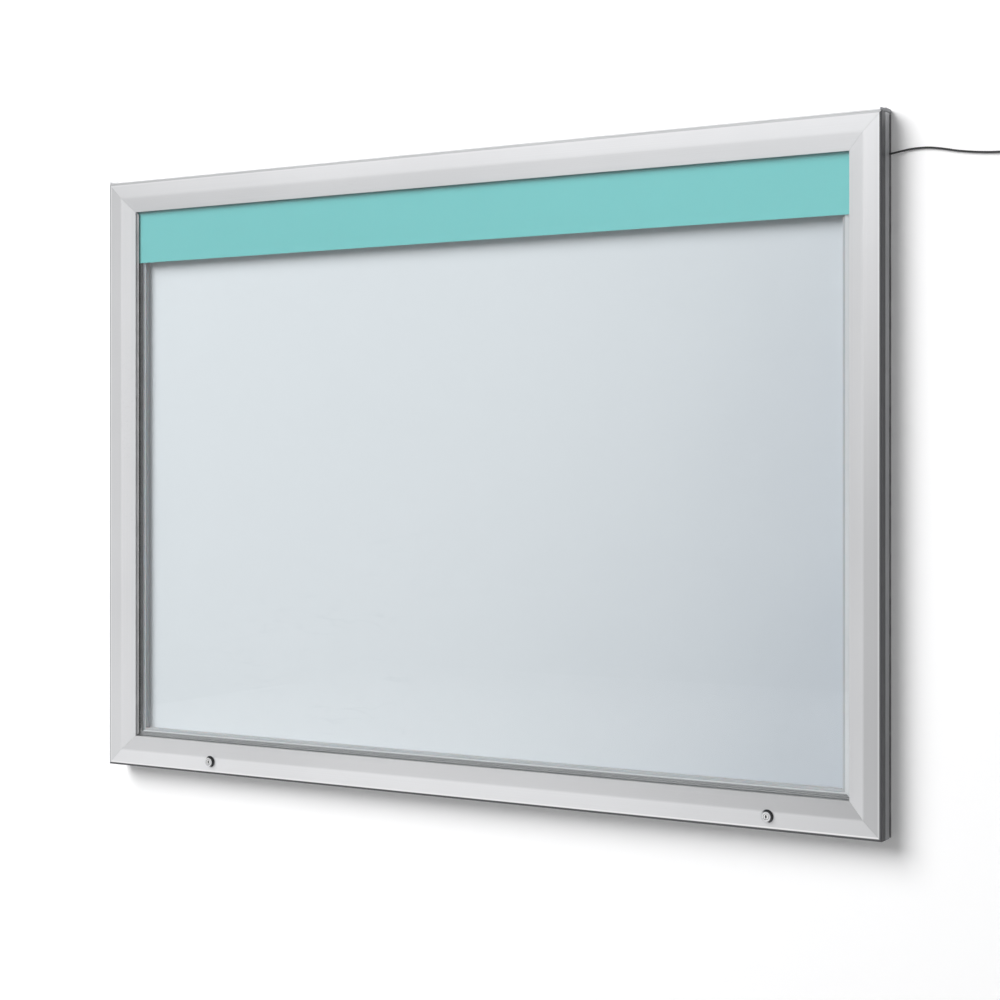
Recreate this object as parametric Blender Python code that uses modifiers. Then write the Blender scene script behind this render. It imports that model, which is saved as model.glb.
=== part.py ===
"""Wall-mounted illuminated notice case with a top-hinged, lockable door.

X runs to the right, Y runs into the wall and Z runs up. The origin is the centre
of the back, on the wall's face, so the door's front lies at -Y.

Profiles are drawn as (inset, depth): inset runs inward from the case's outer edge
and depth runs from the door's front plane towards the wall.
"""
import math

import bmesh
import bpy
from mathutils import Matrix, Vector

# Whole case
CASE_WIDTH = 1.460
CASE_HEIGHT = 1.050
CASE_DEPTH = 0.042
TOUCH_GAP = 0.0003
CUT_OVERRUN = 0.002
WELD = 0.00001
FILL_SCALE = 1000
ROUND_SIDES = 24
SMOOTH_ANGLE = 30

# Door rail profile
BAND_WIDTH = 0.028
LIP_INSET = 0.053
LIP_THICKNESS = 0.0034
DOOR_WALL = 0.0016
DOOR_EDGE = 0.0008
REBATE_INSET = 0.0432
REBATE_DEPTH = 0.0074
LEG_WALL = 0.0017
LEG_REACH = 0.0058
LEG_CLEARANCE = 0.0005

# Case rail profile
SEAM_GAP = 0.0004
CASE_WALL = 0.0018
SHADOW_STEP = 0.0035
SHADOW_BAND = 0.010
INNER_WALL_INSET = 0.063
FLANGE_WIDTH = 0.0115
FLANGE_WALL = 0.0015
LEDGE_WIDTH = 0.0045
LEDGE_WALL = 0.0013
PANEL_SLOT = 0.0058

# Glazing, beads and header
GLAZING_THICKNESS = 0.004
GLAZING_EDGE_GAP = 0.0004
BEAD_WIDTH = 0.0065
BEAD_DEPTH = 0.0027
BEAD_NOSE = 0.0011
BEAD_FOOT = 0.002
HEADER_THICKNESS = 0.0008
HEADER_BOTTOM_INSET = 0.1445

# Seal on the case's inner flange
SEAL_THICKNESS = 0.0018
SEAL_WIDTH = 0.0092

# Back panel and backing board
PANEL_THICKNESS = 0.0008
PANEL_CLEARANCE = 0.0003

# Lighting
DIFFUSER_DEPTH = 0.0111
DIFFUSER_WALL = 0.0009
DIFFUSER_HEIGHT = 0.0039
DIFFUSER_START = 0.0017
BOARD_THICKNESS = 0.0010
BOARD_MARGIN = 0.0002
BOARD_END_INSET = 0.070
LAMP_HEIGHT = 0.0009
LAMP_LENGTH = 0.005
LAMP_PITCH = 0.060

# Corner pieces
KEY_ARM = 0.060
KEY_WIDTH = 0.024
KEY_FRONT_GAP = 0.0017
PLATE_ARM = 0.070
PLATE_WIDTH = 0.032
PLATE_INSET = 0.008
PLATE_THICKNESS = 0.0015

# Hinge: a bead on the case inside a hook on the door
HINGE_BEHIND_DOOR = 0.0050
HINGE_HEIGHT = 0.0016
HINGE_BEAD = 0.0022
HINGE_BORE = 0.0025
HINGE_OUTER = 0.0039
HINGE_NECK = 0.0012
HINGE_PLATE_TOP = 0.0023
HINGE_NOSE_DEPTH = 0.0025
HINGE_NOSE = 0.0010
HINGE_SEAT_GAP = 0.0004
CASE_LEAF_GAP = 0.0008
CAP_THICKNESS = 0.0030
CAP_RADIUS = 0.0047
CAP_REAR_HEIGHT = 0.0029
HOOK_START_ANGLE = 90
HOOK_END_ANGLE = 340
DOOR_OPEN_ANGLE = 70

# Locks
LOCK_LEFT_FROM_END = 0.2335
LOCK_RIGHT_FROM_END = 0.1763
LOCK_INSET = 0.0215
LOCK_HEAD_RADIUS = 0.0104
LOCK_HEAD_HEIGHT = 0.0062
LOCK_HEAD_EDGE = 0.0008
LOCK_BARREL_RADIUS = 0.0065
LOCK_NUT_RADIUS = 0.0096
LOCK_NUT_THICKNESS = 0.0020
LOCK_PLUG_RADIUS = 0.0040
LOCK_RUNNING_GAP = 0.0003
LOCK_PLUG_RECESS = 0.0005
LOCK_STEM_RADIUS = 0.0030
LOCK_END_RADIUS = 0.0045
LOCK_END_THICKNESS = 0.0020
KEYWAY_WIDTH = 0.0011
KEYWAY_HEIGHT = 0.0048
KEYWAY_DEPTH = 0.0080
CAM_THICKNESS = 0.0020
CAM_LENGTH = 0.0170
CAM_BOSS_RADIUS = 0.0062
CAM_WIDTH = 0.0080
CAM_TIP_EDGE = 0.0015
KEEPER_THICKNESS = 0.0015
KEEPER_HEIGHT = 0.0180
KEEPER_LIP_START = 0.0108
KEEPER_LEG_OFFSET = 0.0192
KEEPER_FOOT = 0.0140
KEEPER_FRONT_GAP = 0.0008
KEEPER_CAM_GAP = 0.0005

# Stays: arm on the door, shoe in a track on the case
STAY_ARM = 0.200
STAY_BAR_WIDTH = 0.008
STAY_BAR_THICKNESS = 0.002
STAY_PIN_RADIUS = 0.0020
STAY_PIN_GAP = 0.0003
STAY_SIDE_GAP = 0.0007
STAY_EAR_GAP = 0.0005
STAY_EAR_THICKNESS = 0.0020
STAY_EAR_REACH = 0.0045
STAY_BRACKET_WALL = 0.0015
STAY_BRACKET_FOOT = 0.0150
STAY_BRACKET_HALF = 0.0100
TRACK_BACK = 0.0015
TRACK_WALL = 0.0012
TRACK_HEIGHT = 0.0057
TRACK_END_MARGIN = 0.008
SHOE_WIDTH = 0.0056
SHOE_HEIGHT = 0.0037
SHOE_HALF_LENGTH = 0.012

# Wall screw holes in the side rails' rear webs
WALL_HOLE_RADIUS = 0.0030
WALL_HOLE_INSET = 0.030
WALL_HOLE_FROM_END = 0.145

# Supply lead
LEAD_RADIUS = 0.0015
LEAD_EXIT_INSET = 0.0585
LEAD_EXIT_FROM_WALL = 0.0060
GROMMET_RADIUS = 0.0036
GROMMET_NECK_RADIUS = 0.0027
GROMMET_OUTER_FLANGE = 0.0013
GROMMET_INNER_FLANGE = 0.0010
INNER_LEAD_RADIUS = 0.00125
INNER_LEAD_CLEARANCE = 0.0004
INNER_LEAD_ON_BOARD = 0.0150
INNER_LEAD_END = 0.0060
INNER_LEAD_STEPS = 8

# Spare length: a tied coil on a wall hook, ending in a round connector
COIL_X = 0.936
COIL_Z = 0.4333
COIL_Y = -0.0034
COIL_INNER = 0.0127
COIL_PITCH = 0.0035
COIL_TURNS_PER_LAYER = 3
COIL_LAYERS = 4
COIL_POINTS_PER_TURN = 24
COIL_CLIMB_TURNS = 0.5
COIL_LAST_TURN = 0.25
TAIL_STRAIGHT = 0.016
TAIL_EASE = 0.030
TAIL_STEPS = 8
TAIL_END_Y = -0.0053
TIE_WALL = 0.0010
TIE_WIDTH = 0.0060
TIE_RADIAL_GAP = 0.0008
TIE_LAYER_GAP = 0.0004
TIE_TURN = 0.5
HOOK_WIDTH = 0.0080
HOOK_PLATE = 0.0016
HOOK_BELOW = 0.0090
HOOK_TOP = 0.0099
HOOK_ARM = 0.0055
HOOK_TAB = 0.0016
HOOK_TAB_REACH = 0.0100
HOOK_FRONT_GAP = 0.0006
PLUG_NECK_RADIUS = 0.0024
PLUG_NECK_LENGTH = 0.0100
PLUG_SHOULDER_RADIUS = 0.0034
PLUG_BODY_RADIUS = 0.0048
PLUG_BODY_LENGTH = 0.0230
PLUG_BODY_EDGE = 0.0010
PLUG_BARREL_RADIUS = 0.00275
PLUG_BARREL_LENGTH = 0.0095

# Route of the lead from the case's side to the coil, along the wall
LEAD_ROUTE = [
    (0.7284, -0.0060, 0.4665),
    (0.7330, -0.0060, 0.4668),
    (0.7431, -0.0043, 0.4687),
    (0.7540, -0.0026, 0.4707),
    (0.7656, -0.0018, 0.4719),
    (0.7785, -0.0018, 0.4720),
    (0.7908, -0.0018, 0.4711),
    (0.8099, -0.0018, 0.4677),
    (0.8289, -0.0018, 0.4636),
    (0.8535, -0.0018, 0.4600),
    (0.8750, -0.0018, 0.4579),
    (0.8960, -0.0020, 0.4569),
    (0.9150, -0.0029, 0.4566),
    (0.9250, -0.0034, 0.4570),
    (0.9327, -0.0034, 0.4570),
]
LEAD_STEP = 0.0075
LEAD_FINE_STEPS = 16

# Depths worked out from the wall forwards: the panel, the lit channel, then the door
WEB_FRONT = CASE_DEPTH - CASE_WALL
SHADOW_DEPTH = CASE_DEPTH - SHADOW_BAND
LEDGE_BACK = CASE_DEPTH - PANEL_SLOT
DIFFUSER_BACK = LEDGE_BACK - LEDGE_WALL - TOUCH_GAP
DIFFUSER_FRONT = DIFFUSER_BACK - DIFFUSER_DEPTH
LIGHT_MIDDLE = (DIFFUSER_FRONT + DIFFUSER_BACK) / 2
FLANGE_DEPTH = DIFFUSER_FRONT - DIFFUSER_START
LEG_DEPTH = FLANGE_DEPTH - LEG_CLEARANCE
DOOR_DEPTH = LEG_DEPTH - LEG_REACH
LIP_BACK = LEG_DEPTH - REBATE_DEPTH
LIP_SETBACK = LIP_BACK - LIP_THICKNESS
GLAZING_FRONT = LIP_BACK + TOUCH_GAP
GLAZING_BACK = GLAZING_FRONT + GLAZING_THICKNESS
BEAD_FRONT = GLAZING_BACK + TOUCH_GAP
CASE_FRONT = DOOR_DEPTH + SEAM_GAP
HINGE_DEPTH = DOOR_DEPTH + HINGE_BEHIND_DOOR
CASE_LEAF_START = HINGE_DEPTH + HINGE_OUTER + CASE_LEAF_GAP
CASE_LEAF_END = CASE_DEPTH - CASE_LEAF_GAP
LEAD_EXIT_DEPTH = CASE_DEPTH - LEAD_EXIT_FROM_WALL

# Places and insets worked out from the sizes above
ARC_STEP = 360 / ROUND_SIDES
HALF_WIDTH = CASE_WIDTH / 2
HALF_HEIGHT = CASE_HEIGHT / 2
PIVOT_Z = HALF_HEIGHT + HINGE_HEIGHT
BAR_OUTER = CASE_WALL + TOUCH_GAP + TRACK_HEIGHT + STAY_SIDE_GAP
BAR_INNER = BAR_OUTER + STAY_BAR_THICKNESS
EAR_INSET = BAR_INNER + STAY_EAR_GAP
LEAD_EXIT_Z = HALF_HEIGHT - LEAD_EXIT_INSET
INNER_LEAD_Z = HALF_HEIGHT - BOARD_END_INSET - INNER_LEAD_ON_BOARD

SIDES = {
    "top": (90, (0, HALF_HEIGHT), CASE_WIDTH),
    "bottom": (-90, (0, -HALF_HEIGHT), CASE_WIDTH),
    "left": (0, (-HALF_WIDTH, 0), CASE_HEIGHT),
    "right": (180, (HALF_WIDTH, 0), CASE_HEIGHT),
}
END_SIGNS = {"left": -1, "right": 1}

FINISHES = {
    "satin_aluminium": ((0.78, 0.79, 0.80), 0.38, 0.9),
    "case_aluminium": ((0.50, 0.51, 0.53), 0.42, 0.9),
    "hinge_dark": ((0.10, 0.10, 0.11), 0.50, 0.0),
    "clear_glazing": ((0.92, 0.96, 0.96), 0.05, 0.0),
    "header_teal": ((0.23, 0.60, 0.58), 0.50, 0.0),
    "panel_white": ((0.75, 0.79, 0.84), 0.40, 0.0),
    "backing_grey": ((0.45, 0.45, 0.46), 0.80, 0.0),
    "seal_black": ((0.03, 0.03, 0.035), 0.70, 0.0),
    "opal_diffuser": ((0.86, 0.87, 0.88), 0.45, 0.0),
    "light_board": ((0.90, 0.90, 0.86), 0.50, 0.0),
    "zinc_steel": ((0.60, 0.61, 0.62), 0.40, 1.0),
    "lock_chrome": ((0.85, 0.85, 0.86), 0.15, 1.0),
    "nylon_black": ((0.04, 0.04, 0.04), 0.55, 0.0),
    "lead_black": ((0.03, 0.03, 0.03), 0.50, 0.0),
}


def clear_scene():
    for item in list(bpy.data.objects):
        bpy.data.objects.remove(item, do_unlink=True)


def new_collection(name):
    collection = bpy.data.collections.new(name)
    bpy.context.scene.collection.children.link(collection)
    return collection


def finish(name):
    """The Principled material of this finish, made once for each."""
    if name in bpy.data.materials:
        return bpy.data.materials[name]
    colour, roughness, metallic = FINISHES[name]
    material = bpy.data.materials.new(name)
    material.use_nodes = True
    shader = material.node_tree.nodes["Principled BSDF"]
    shader.inputs["Base Color"].default_value = (*colour, 1)
    shader.inputs["Roughness"].default_value = roughness
    shader.inputs["Metallic"].default_value = metallic
    material.diffuse_color = (*colour, 1)
    return material


def add_object(name, data, finish_name, location=(0, 0, 0), turn=(0, 0, 0)):
    """Link an object to the case, turned by degrees about X, Y and Z."""
    item = bpy.data.objects.new(name, data)
    item.location = location
    item.rotation_euler = [math.radians(angle) for angle in turn]
    if finish_name:
        data.materials.append(finish(finish_name))
        parts.objects.link(item)
    else:
        item.hide_render = True
        item.display_type = "WIRE"
        cutters.objects.link(item)
    return item


def outline_mesh(name, loops, length):
    """Fill flat closed outlines and extrude them along local Z, half each way.

    The outline is filled at a thousand times its size, where thin walls fill cleanly.
    """
    curve = bpy.data.curves.new(name, "CURVE")
    curve.dimensions = "2D"
    curve.fill_mode = "BOTH"
    curve.extrude = length / 2 * FILL_SCALE
    for loop in loops:
        spline = curve.splines.new("POLY")
        spline.points.add(len(loop) - 1)
        for point, (x, y) in zip(spline.points, loop):
            point.co = (x * FILL_SCALE, y * FILL_SCALE, 0, 1)
        spline.use_cyclic_u = True
    guide = bpy.data.objects.new(name, curve)
    bpy.context.scene.collection.objects.link(guide)
    depsgraph = bpy.context.evaluated_depsgraph_get()
    mesh = bpy.data.meshes.new_from_object(guide.evaluated_get(depsgraph))
    bpy.data.objects.remove(guide, do_unlink=True)
    bpy.data.curves.remove(curve)
    shape = bmesh.new()
    shape.from_mesh(mesh)
    bmesh.ops.remove_doubles(shape, verts=shape.verts, dist=WELD * FILL_SCALE)
    bmesh.ops.scale(shape, vec=Vector.Fill(3, 1 / FILL_SCALE), verts=shape.verts)
    bmesh.ops.recalc_face_normals(shape, faces=shape.faces)
    shape.to_mesh(mesh)
    shape.free()
    mesh.name = name
    return mesh


def extruded(name, loops, length, finish_name, location=(0, 0, 0), turn=(0, 0, 0)):
    return add_object(name, outline_mesh(name, loops, length), finish_name, location, turn)


def mitred(name, side, loops, finish_name):
    """Carry an (inset, depth) profile along one side, with its ends cut at 45 degrees."""
    angle, (x, z), length = SIDES[side]
    mesh = outline_mesh(name, loops, length)
    for vertex in mesh.vertices:
        end = math.copysign(length / 2 - vertex.co.x - TOUCH_GAP / 2, vertex.co.z)
        vertex.co.z = end
    return add_object(name, mesh, finish_name, (x, -CASE_DEPTH, z), (0, angle, 0))


def boxes_mesh(name, corners):
    """A mesh of boxes, each between its lowest and highest corner."""
    shape = bmesh.new()
    for low, high in corners:
        size = Vector(high) - Vector(low)
        place = Matrix.Translation((Vector(high) + Vector(low)) / 2) @ Matrix.Diagonal((*size, 1))
        bmesh.ops.create_cube(shape, size=1, matrix=place)
    mesh = bpy.data.meshes.new(name)
    shape.to_mesh(mesh)
    shape.free()
    return mesh


def box(name, low, high, finish_name):
    """A box between two corners given as (x, depth, z), placed by its middle."""
    half = (Vector(high) - Vector(low)) / 2
    middle = (Vector(high) + Vector(low)) / 2
    return add_object(name, boxes_mesh(name, [(-half, half)]), finish_name,
                      (middle.x, middle.y - CASE_DEPTH, middle.z))


def cylinder(name, radius, length, location, turn):
    """A cutter or a boss: a plain cylinder along local Z."""
    shape = bmesh.new()
    bmesh.ops.create_cone(shape, cap_ends=True, segments=ROUND_SIDES,
                          radius1=radius, radius2=radius, depth=length)
    mesh = bpy.data.meshes.new(name)
    shape.to_mesh(mesh)
    shape.free()
    return add_object(name, mesh, None, location, turn)


def boolean(item, other, operation):
    step = item.modifiers.new(other.name, "BOOLEAN")
    step.operation = operation
    step.object = other


def turned(name, profile, closed, finish_name, location, turn):
    """Turn a (radius, height) profile about local Z; its outer side runs downwards."""
    count = len(profile)
    edges = [(i, i + 1) for i in range(count - 1)]
    if closed:
        edges.append((count - 1, 0))
    mesh = bpy.data.meshes.new(name)
    mesh.from_pydata([(radius, 0, height) for radius, height in profile], edges, [])
    item = add_object(name, mesh, finish_name, location, turn)
    screw = item.modifiers.new("turned", "SCREW")
    screw.steps = ROUND_SIDES
    screw.render_steps = ROUND_SIDES
    screw.use_merge_vertices = True
    screw.merge_threshold = WELD
    return item


def arc(centre, radius, start, end):
    """Points on an arc, angles in degrees from the first axis towards the second."""
    points = []
    count = round(abs(end - start) / ARC_STEP)
    for i in range(count + 1):
        angle = math.radians(start + (end - start) * i / count)
        points.append((centre[0] + radius * math.cos(angle), centre[1] + radius * math.sin(angle)))
    return points


def ring(centre, radius):
    return arc(centre, radius, 0, 360)[:-1]


def tube(name, points, radius, resolution, finish_name):
    """A round tube with filled caps along the points."""
    curve = bpy.data.curves.new(name, "CURVE")
    curve.dimensions = "3D"
    curve.bevel_depth = radius
    curve.bevel_resolution = resolution
    curve.use_fill_caps = True
    spline = curve.splines.new("POLY")
    spline.points.add(len(points) - 1)
    for point, place in zip(spline.points, points):
        point.co = (*place, 1)
    return add_object(name, curve, finish_name)


def smooth_route(route, step):
    """Read points at equal steps from a smooth curve through the route's points."""
    knots = [Vector(point) for point in route]
    knots = [2 * knots[0] - knots[1], *knots, 2 * knots[-1] - knots[-2]]
    fine = []
    for a, b, c, d in zip(knots, knots[1:], knots[2:], knots[3:]):
        for i in range(LEAD_FINE_STEPS):
            t = i / LEAD_FINE_STEPS
            fine.append(0.5 * (2 * b + (c - a) * t + (2 * a - 5 * b + 4 * c - d) * t ** 2
                               + (3 * b - a - 3 * c + d) * t ** 3))
    fine.append(knots[-2])
    lengths = [0]
    for a, b in zip(fine, fine[1:]):
        lengths.append(lengths[-1] + (b - a).length)
    count = round(lengths[-1] / step)
    points = []
    at = 0
    for i in range(count + 1):
        target = lengths[-1] * i / count
        while at < len(fine) - 2 and lengths[at + 1] < target:
            at += 1
        share = (target - lengths[at]) / (lengths[at + 1] - lengths[at])
        points.append(fine[at].lerp(fine[at + 1], share))
    return points


def path_length(points):
    return sum((Vector(b) - Vector(a)).length for a, b in zip(points, points[1:]))


def front_depth(inset):
    """Depth of the door rail's front face: flat, then the slope down to the lip."""
    return max(0, inset - BAND_WIDTH) / (LIP_INSET - BAND_WIDTH) * LIP_SETBACK


def door_rails():
    leg = REBATE_INSET - LEG_WALL
    outside = [
        (0, DOOR_EDGE), (DOOR_EDGE, 0), (BAND_WIDTH, 0), (LIP_INSET, LIP_SETBACK),
        (LIP_INSET, LIP_BACK), (REBATE_INSET, LIP_BACK), (REBATE_INSET, LEG_DEPTH),
        (leg, LEG_DEPTH), (leg, DOOR_DEPTH), (0, DOOR_DEPTH),
    ]
    last = leg - LEG_WALL
    back = DOOR_DEPTH - DOOR_WALL
    chamber = [
        (DOOR_WALL, DOOR_WALL), (BAND_WIDTH, DOOR_WALL),
        (last, front_depth(last) + DOOR_WALL), (last, back), (DOOR_WALL, back),
    ]
    rails = {}
    for side in SIDES:
        rails[side] = mitred("door_rail_" + side, side, [outside, chamber], "satin_aluminium")
    return rails


def case_outline(wall_front):
    """The case rail's open trough: outer wall, rear web, inner wall, flange and ledge."""
    wall = CASE_WALL
    inner = INNER_WALL_INSET
    flange = inner - FLANGE_WIDTH
    ledge = inner + LEDGE_WIDTH
    return [
        (0, wall_front), (0, SHADOW_DEPTH), (SHADOW_STEP, SHADOW_DEPTH),
        (SHADOW_STEP, CASE_DEPTH), (inner, CASE_DEPTH), (inner, LEDGE_BACK),
        (ledge, LEDGE_BACK), (ledge, LEDGE_BACK - LEDGE_WALL), (inner, LEDGE_BACK - LEDGE_WALL),
        (inner, FLANGE_DEPTH), (flange, FLANGE_DEPTH), (flange, FLANGE_DEPTH + FLANGE_WALL),
        (inner - wall, FLANGE_DEPTH + FLANGE_WALL), (inner - wall, WEB_FRONT),
        (SHADOW_STEP + wall, WEB_FRONT), (SHADOW_STEP + wall, SHADOW_DEPTH - wall),
        (wall, SHADOW_DEPTH - wall), (wall, wall_front),
    ]


def case_rails():
    rails = {}
    for side in SIDES:
        wall_front = CASE_FRONT
        if side == "top":
            wall_front = HINGE_DEPTH + HINGE_OUTER + HINGE_SEAT_GAP
        rails[side] = mitred("case_rail_" + side, side, [case_outline(wall_front)], "case_aluminium")
    for side, sign in END_SIGNS.items():
        for end in (-1, 1):
            place = (sign * (HALF_WIDTH - WALL_HOLE_INSET), -CASE_WALL / 2,
                     end * (HALF_HEIGHT - WALL_HOLE_FROM_END))
            hole = cylinder("wall_hole_cutter", WALL_HOLE_RADIUS, CASE_WALL + CUT_OVERRUN,
                            place, (90, 0, 0))
            boolean(rails[side], hole, "DIFFERENCE")
    return rails


def corner_pieces():
    """L-shaped keys in the door rails' chambers and flat plates on the case's web."""
    key_start = DOOR_WALL + TOUCH_GAP
    key_back = DOOR_DEPTH - DOOR_WALL - TOUCH_GAP
    key_height = key_back - DOOR_WALL - KEY_FRONT_GAP
    plate_back = WEB_FRONT - TOUCH_GAP
    kinds = [
        ("door_corner_key_", key_start, KEY_ARM, KEY_WIDTH, key_height, key_back),
        ("case_corner_plate_", PLATE_INSET, PLATE_ARM, PLATE_WIDTH, PLATE_THICKNESS, plate_back),
    ]
    for prefix, start, arm, width, thickness, back in kinds:
        ell = [
            (start, start), (start + arm, start), (start + arm, start + width),
            (start + width, start + width), (start + width, start + arm), (start, start + arm),
        ]
        for side, sign in END_SIGNS.items():
            for level, up in (("lower", -1), ("upper", 1)):
                loop = [(sign * (HALF_WIDTH - x), up * (HALF_HEIGHT - z)) for x, z in ell]
                middle = back - thickness / 2 - CASE_DEPTH
                extruded(prefix + level + "_" + side, [loop], thickness, "zinc_steel",
                         (0, middle, 0), (90, 0, 0))


def glazing_and_header():
    edge = REBATE_INSET + GLAZING_EDGE_GAP
    box("glazing", (edge - HALF_WIDTH, GLAZING_FRONT, edge - HALF_HEIGHT),
        (HALF_WIDTH - edge, GLAZING_BACK, HALF_HEIGHT - edge), "clear_glazing")
    start = REBATE_INSET + TOUCH_GAP
    bead = [
        (start, BEAD_FRONT), (start + BEAD_WIDTH, BEAD_FRONT),
        (start + BEAD_WIDTH, BEAD_FRONT + BEAD_NOSE), (start + BEAD_FOOT, BEAD_FRONT + BEAD_DEPTH),
        (start, BEAD_FRONT + BEAD_DEPTH),
    ]
    for side in SIDES:
        mitred("glazing_bead_" + side, side, [bead], "satin_aluminium")
    edge = start + BEAD_WIDTH + TOUCH_GAP
    box("header_panel", (edge - HALF_WIDTH, BEAD_FRONT, HALF_HEIGHT - HEADER_BOTTOM_INSET),
        (HALF_WIDTH - edge, BEAD_FRONT + HEADER_THICKNESS, HALF_HEIGHT - edge), "header_teal")


def back_and_seal():
    edge = INNER_WALL_INSET + PANEL_CLEARANCE
    front = LEDGE_BACK + TOUCH_GAP
    back = front + PANEL_THICKNESS
    box("back_panel", (edge - HALF_WIDTH, front, edge - HALF_HEIGHT),
        (HALF_WIDTH - edge, back, HALF_HEIGHT - edge), "panel_white")
    box("backing_board", (edge - HALF_WIDTH, back + TOUCH_GAP, edge - HALF_HEIGHT),
        (HALF_WIDTH - edge, CASE_DEPTH, HALF_HEIGHT - edge), "backing_grey")
    inner = INNER_WALL_INSET - TOUCH_GAP
    loops = []
    for inset in (inner - SEAL_WIDTH, inner):
        x = HALF_WIDTH - inset
        z = HALF_HEIGHT - inset
        loops.append([(-x, -z), (x, -z), (x, z), (-x, z)])
    middle = FLANGE_DEPTH - TOUCH_GAP - SEAL_THICKNESS / 2 - CASE_DEPTH
    extruded("door_seal", loops, SEAL_THICKNESS, "seal_black", (0, middle, 0), (90, 0, 0))


def lighting():
    """On each side a board of lamps on the inner wall, under an opal channel cover."""
    start = INNER_WALL_INSET + TOUCH_GAP
    top = start + DIFFUSER_HEIGHT
    front = DIFFUSER_FRONT
    back = DIFFUSER_BACK
    wall = DIFFUSER_WALL
    cover = [
        (start, front), (top, front), (top, back), (start, back), (start, back - wall),
        (top - wall, back - wall), (top - wall, front + wall), (start, front + wall),
    ]
    low = front + wall + BOARD_MARGIN
    high = back - wall - BOARD_MARGIN
    for side, (angle, (x, z), length) in SIDES.items():
        mitred("diffuser_" + side, side, [cover], "opal_diffuser")
        place = (x, -CASE_DEPTH, z)
        turn = (0, angle, 0)
        half = length / 2 - BOARD_END_INSET
        count = int((2 * half - LAMP_PITCH) / LAMP_PITCH)
        board_box = [((start, low, -half), (start + BOARD_THICKNESS, high, half))]
        board = add_object("light_board_" + side, boxes_mesh("light_board", board_box),
                           "light_board", place, turn)
        lamps = []
        for i in range(count + 1):
            at = (i - count / 2) * LAMP_PITCH
            lamps.append(((start + BOARD_THICKNESS / 2, LIGHT_MIDDLE - LAMP_LENGTH / 2,
                           at - LAMP_LENGTH / 2),
                          (start + BOARD_THICKNESS + LAMP_HEIGHT, LIGHT_MIDDLE + LAMP_LENGTH / 2,
                           at + LAMP_LENGTH / 2)))
        row = add_object("lamp_row", boxes_mesh("lamp_row", lamps), None, place, turn)
        boolean(board, row, "UNION")


def hinge():
    """The door's hook leaf round the case's bead leaf, with an end cap at each end."""
    centre = (HINGE_DEPTH, HINGE_HEIGHT)
    length = CASE_WIDTH - 2 * (CAP_THICKNESS + TOUCH_GAP)
    top_angle = 180 - math.degrees(math.asin((HINGE_PLATE_TOP - HINGE_HEIGHT) / HINGE_OUTER))
    low_angle = 180 + math.degrees(math.asin((HINGE_HEIGHT - TOUCH_GAP) / HINGE_OUTER))
    hook = [
        (HINGE_NOSE_DEPTH, TOUCH_GAP), (HINGE_NOSE_DEPTH, HINGE_PLATE_TOP - HINGE_NOSE),
        (HINGE_NOSE_DEPTH + HINGE_NOSE, HINGE_PLATE_TOP),
    ]
    hook += arc(centre, HINGE_OUTER, top_angle, HOOK_START_ANGLE)
    hook += arc(centre, HINGE_BORE, HOOK_START_ANGLE, HOOK_END_ANGLE)
    hook += arc(centre, HINGE_OUTER, HOOK_END_ANGLE, low_angle)
    lie = (90, 0, 90)
    place = (0, -CASE_DEPTH, HALF_HEIGHT)
    extruded("hinge_leaf_door", [hook], length, "satin_aluminium", place, lie)

    neck_top = HINGE_HEIGHT + HINGE_NECK / 2
    neck_low = HINGE_HEIGHT - HINGE_NECK / 2
    neck_angle = math.degrees(math.asin(HINGE_NECK / 2 / HINGE_BEAD))
    bead = arc(centre, HINGE_BEAD, neck_angle, 360 - neck_angle)
    bead += [
        (CASE_LEAF_START, neck_low), (CASE_LEAF_START, TOUCH_GAP),
        (CASE_LEAF_END, TOUCH_GAP), (CASE_LEAF_END, neck_top),
    ]
    extruded("hinge_leaf_case", [bead], length, "case_aluminium", place, lie)

    front_angle = 180 + math.degrees(math.asin((HINGE_HEIGHT - TOUCH_GAP) / CAP_RADIUS))
    rear_angle = math.degrees(math.asin((CAP_REAR_HEIGHT - HINGE_HEIGHT) / CAP_RADIUS))
    cap = arc(centre, CAP_RADIUS, front_angle, rear_angle)
    cap += [(CASE_LEAF_END, CAP_REAR_HEIGHT), (CASE_LEAF_END, TOUCH_GAP)]
    for side, sign in END_SIGNS.items():
        place = (sign * (HALF_WIDTH - CAP_THICKNESS / 2), -CASE_DEPTH, HALF_HEIGHT)
        extruded("hinge_cap_" + side, [cap], CAP_THICKNESS, "hinge_dark", place, lie)


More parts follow.
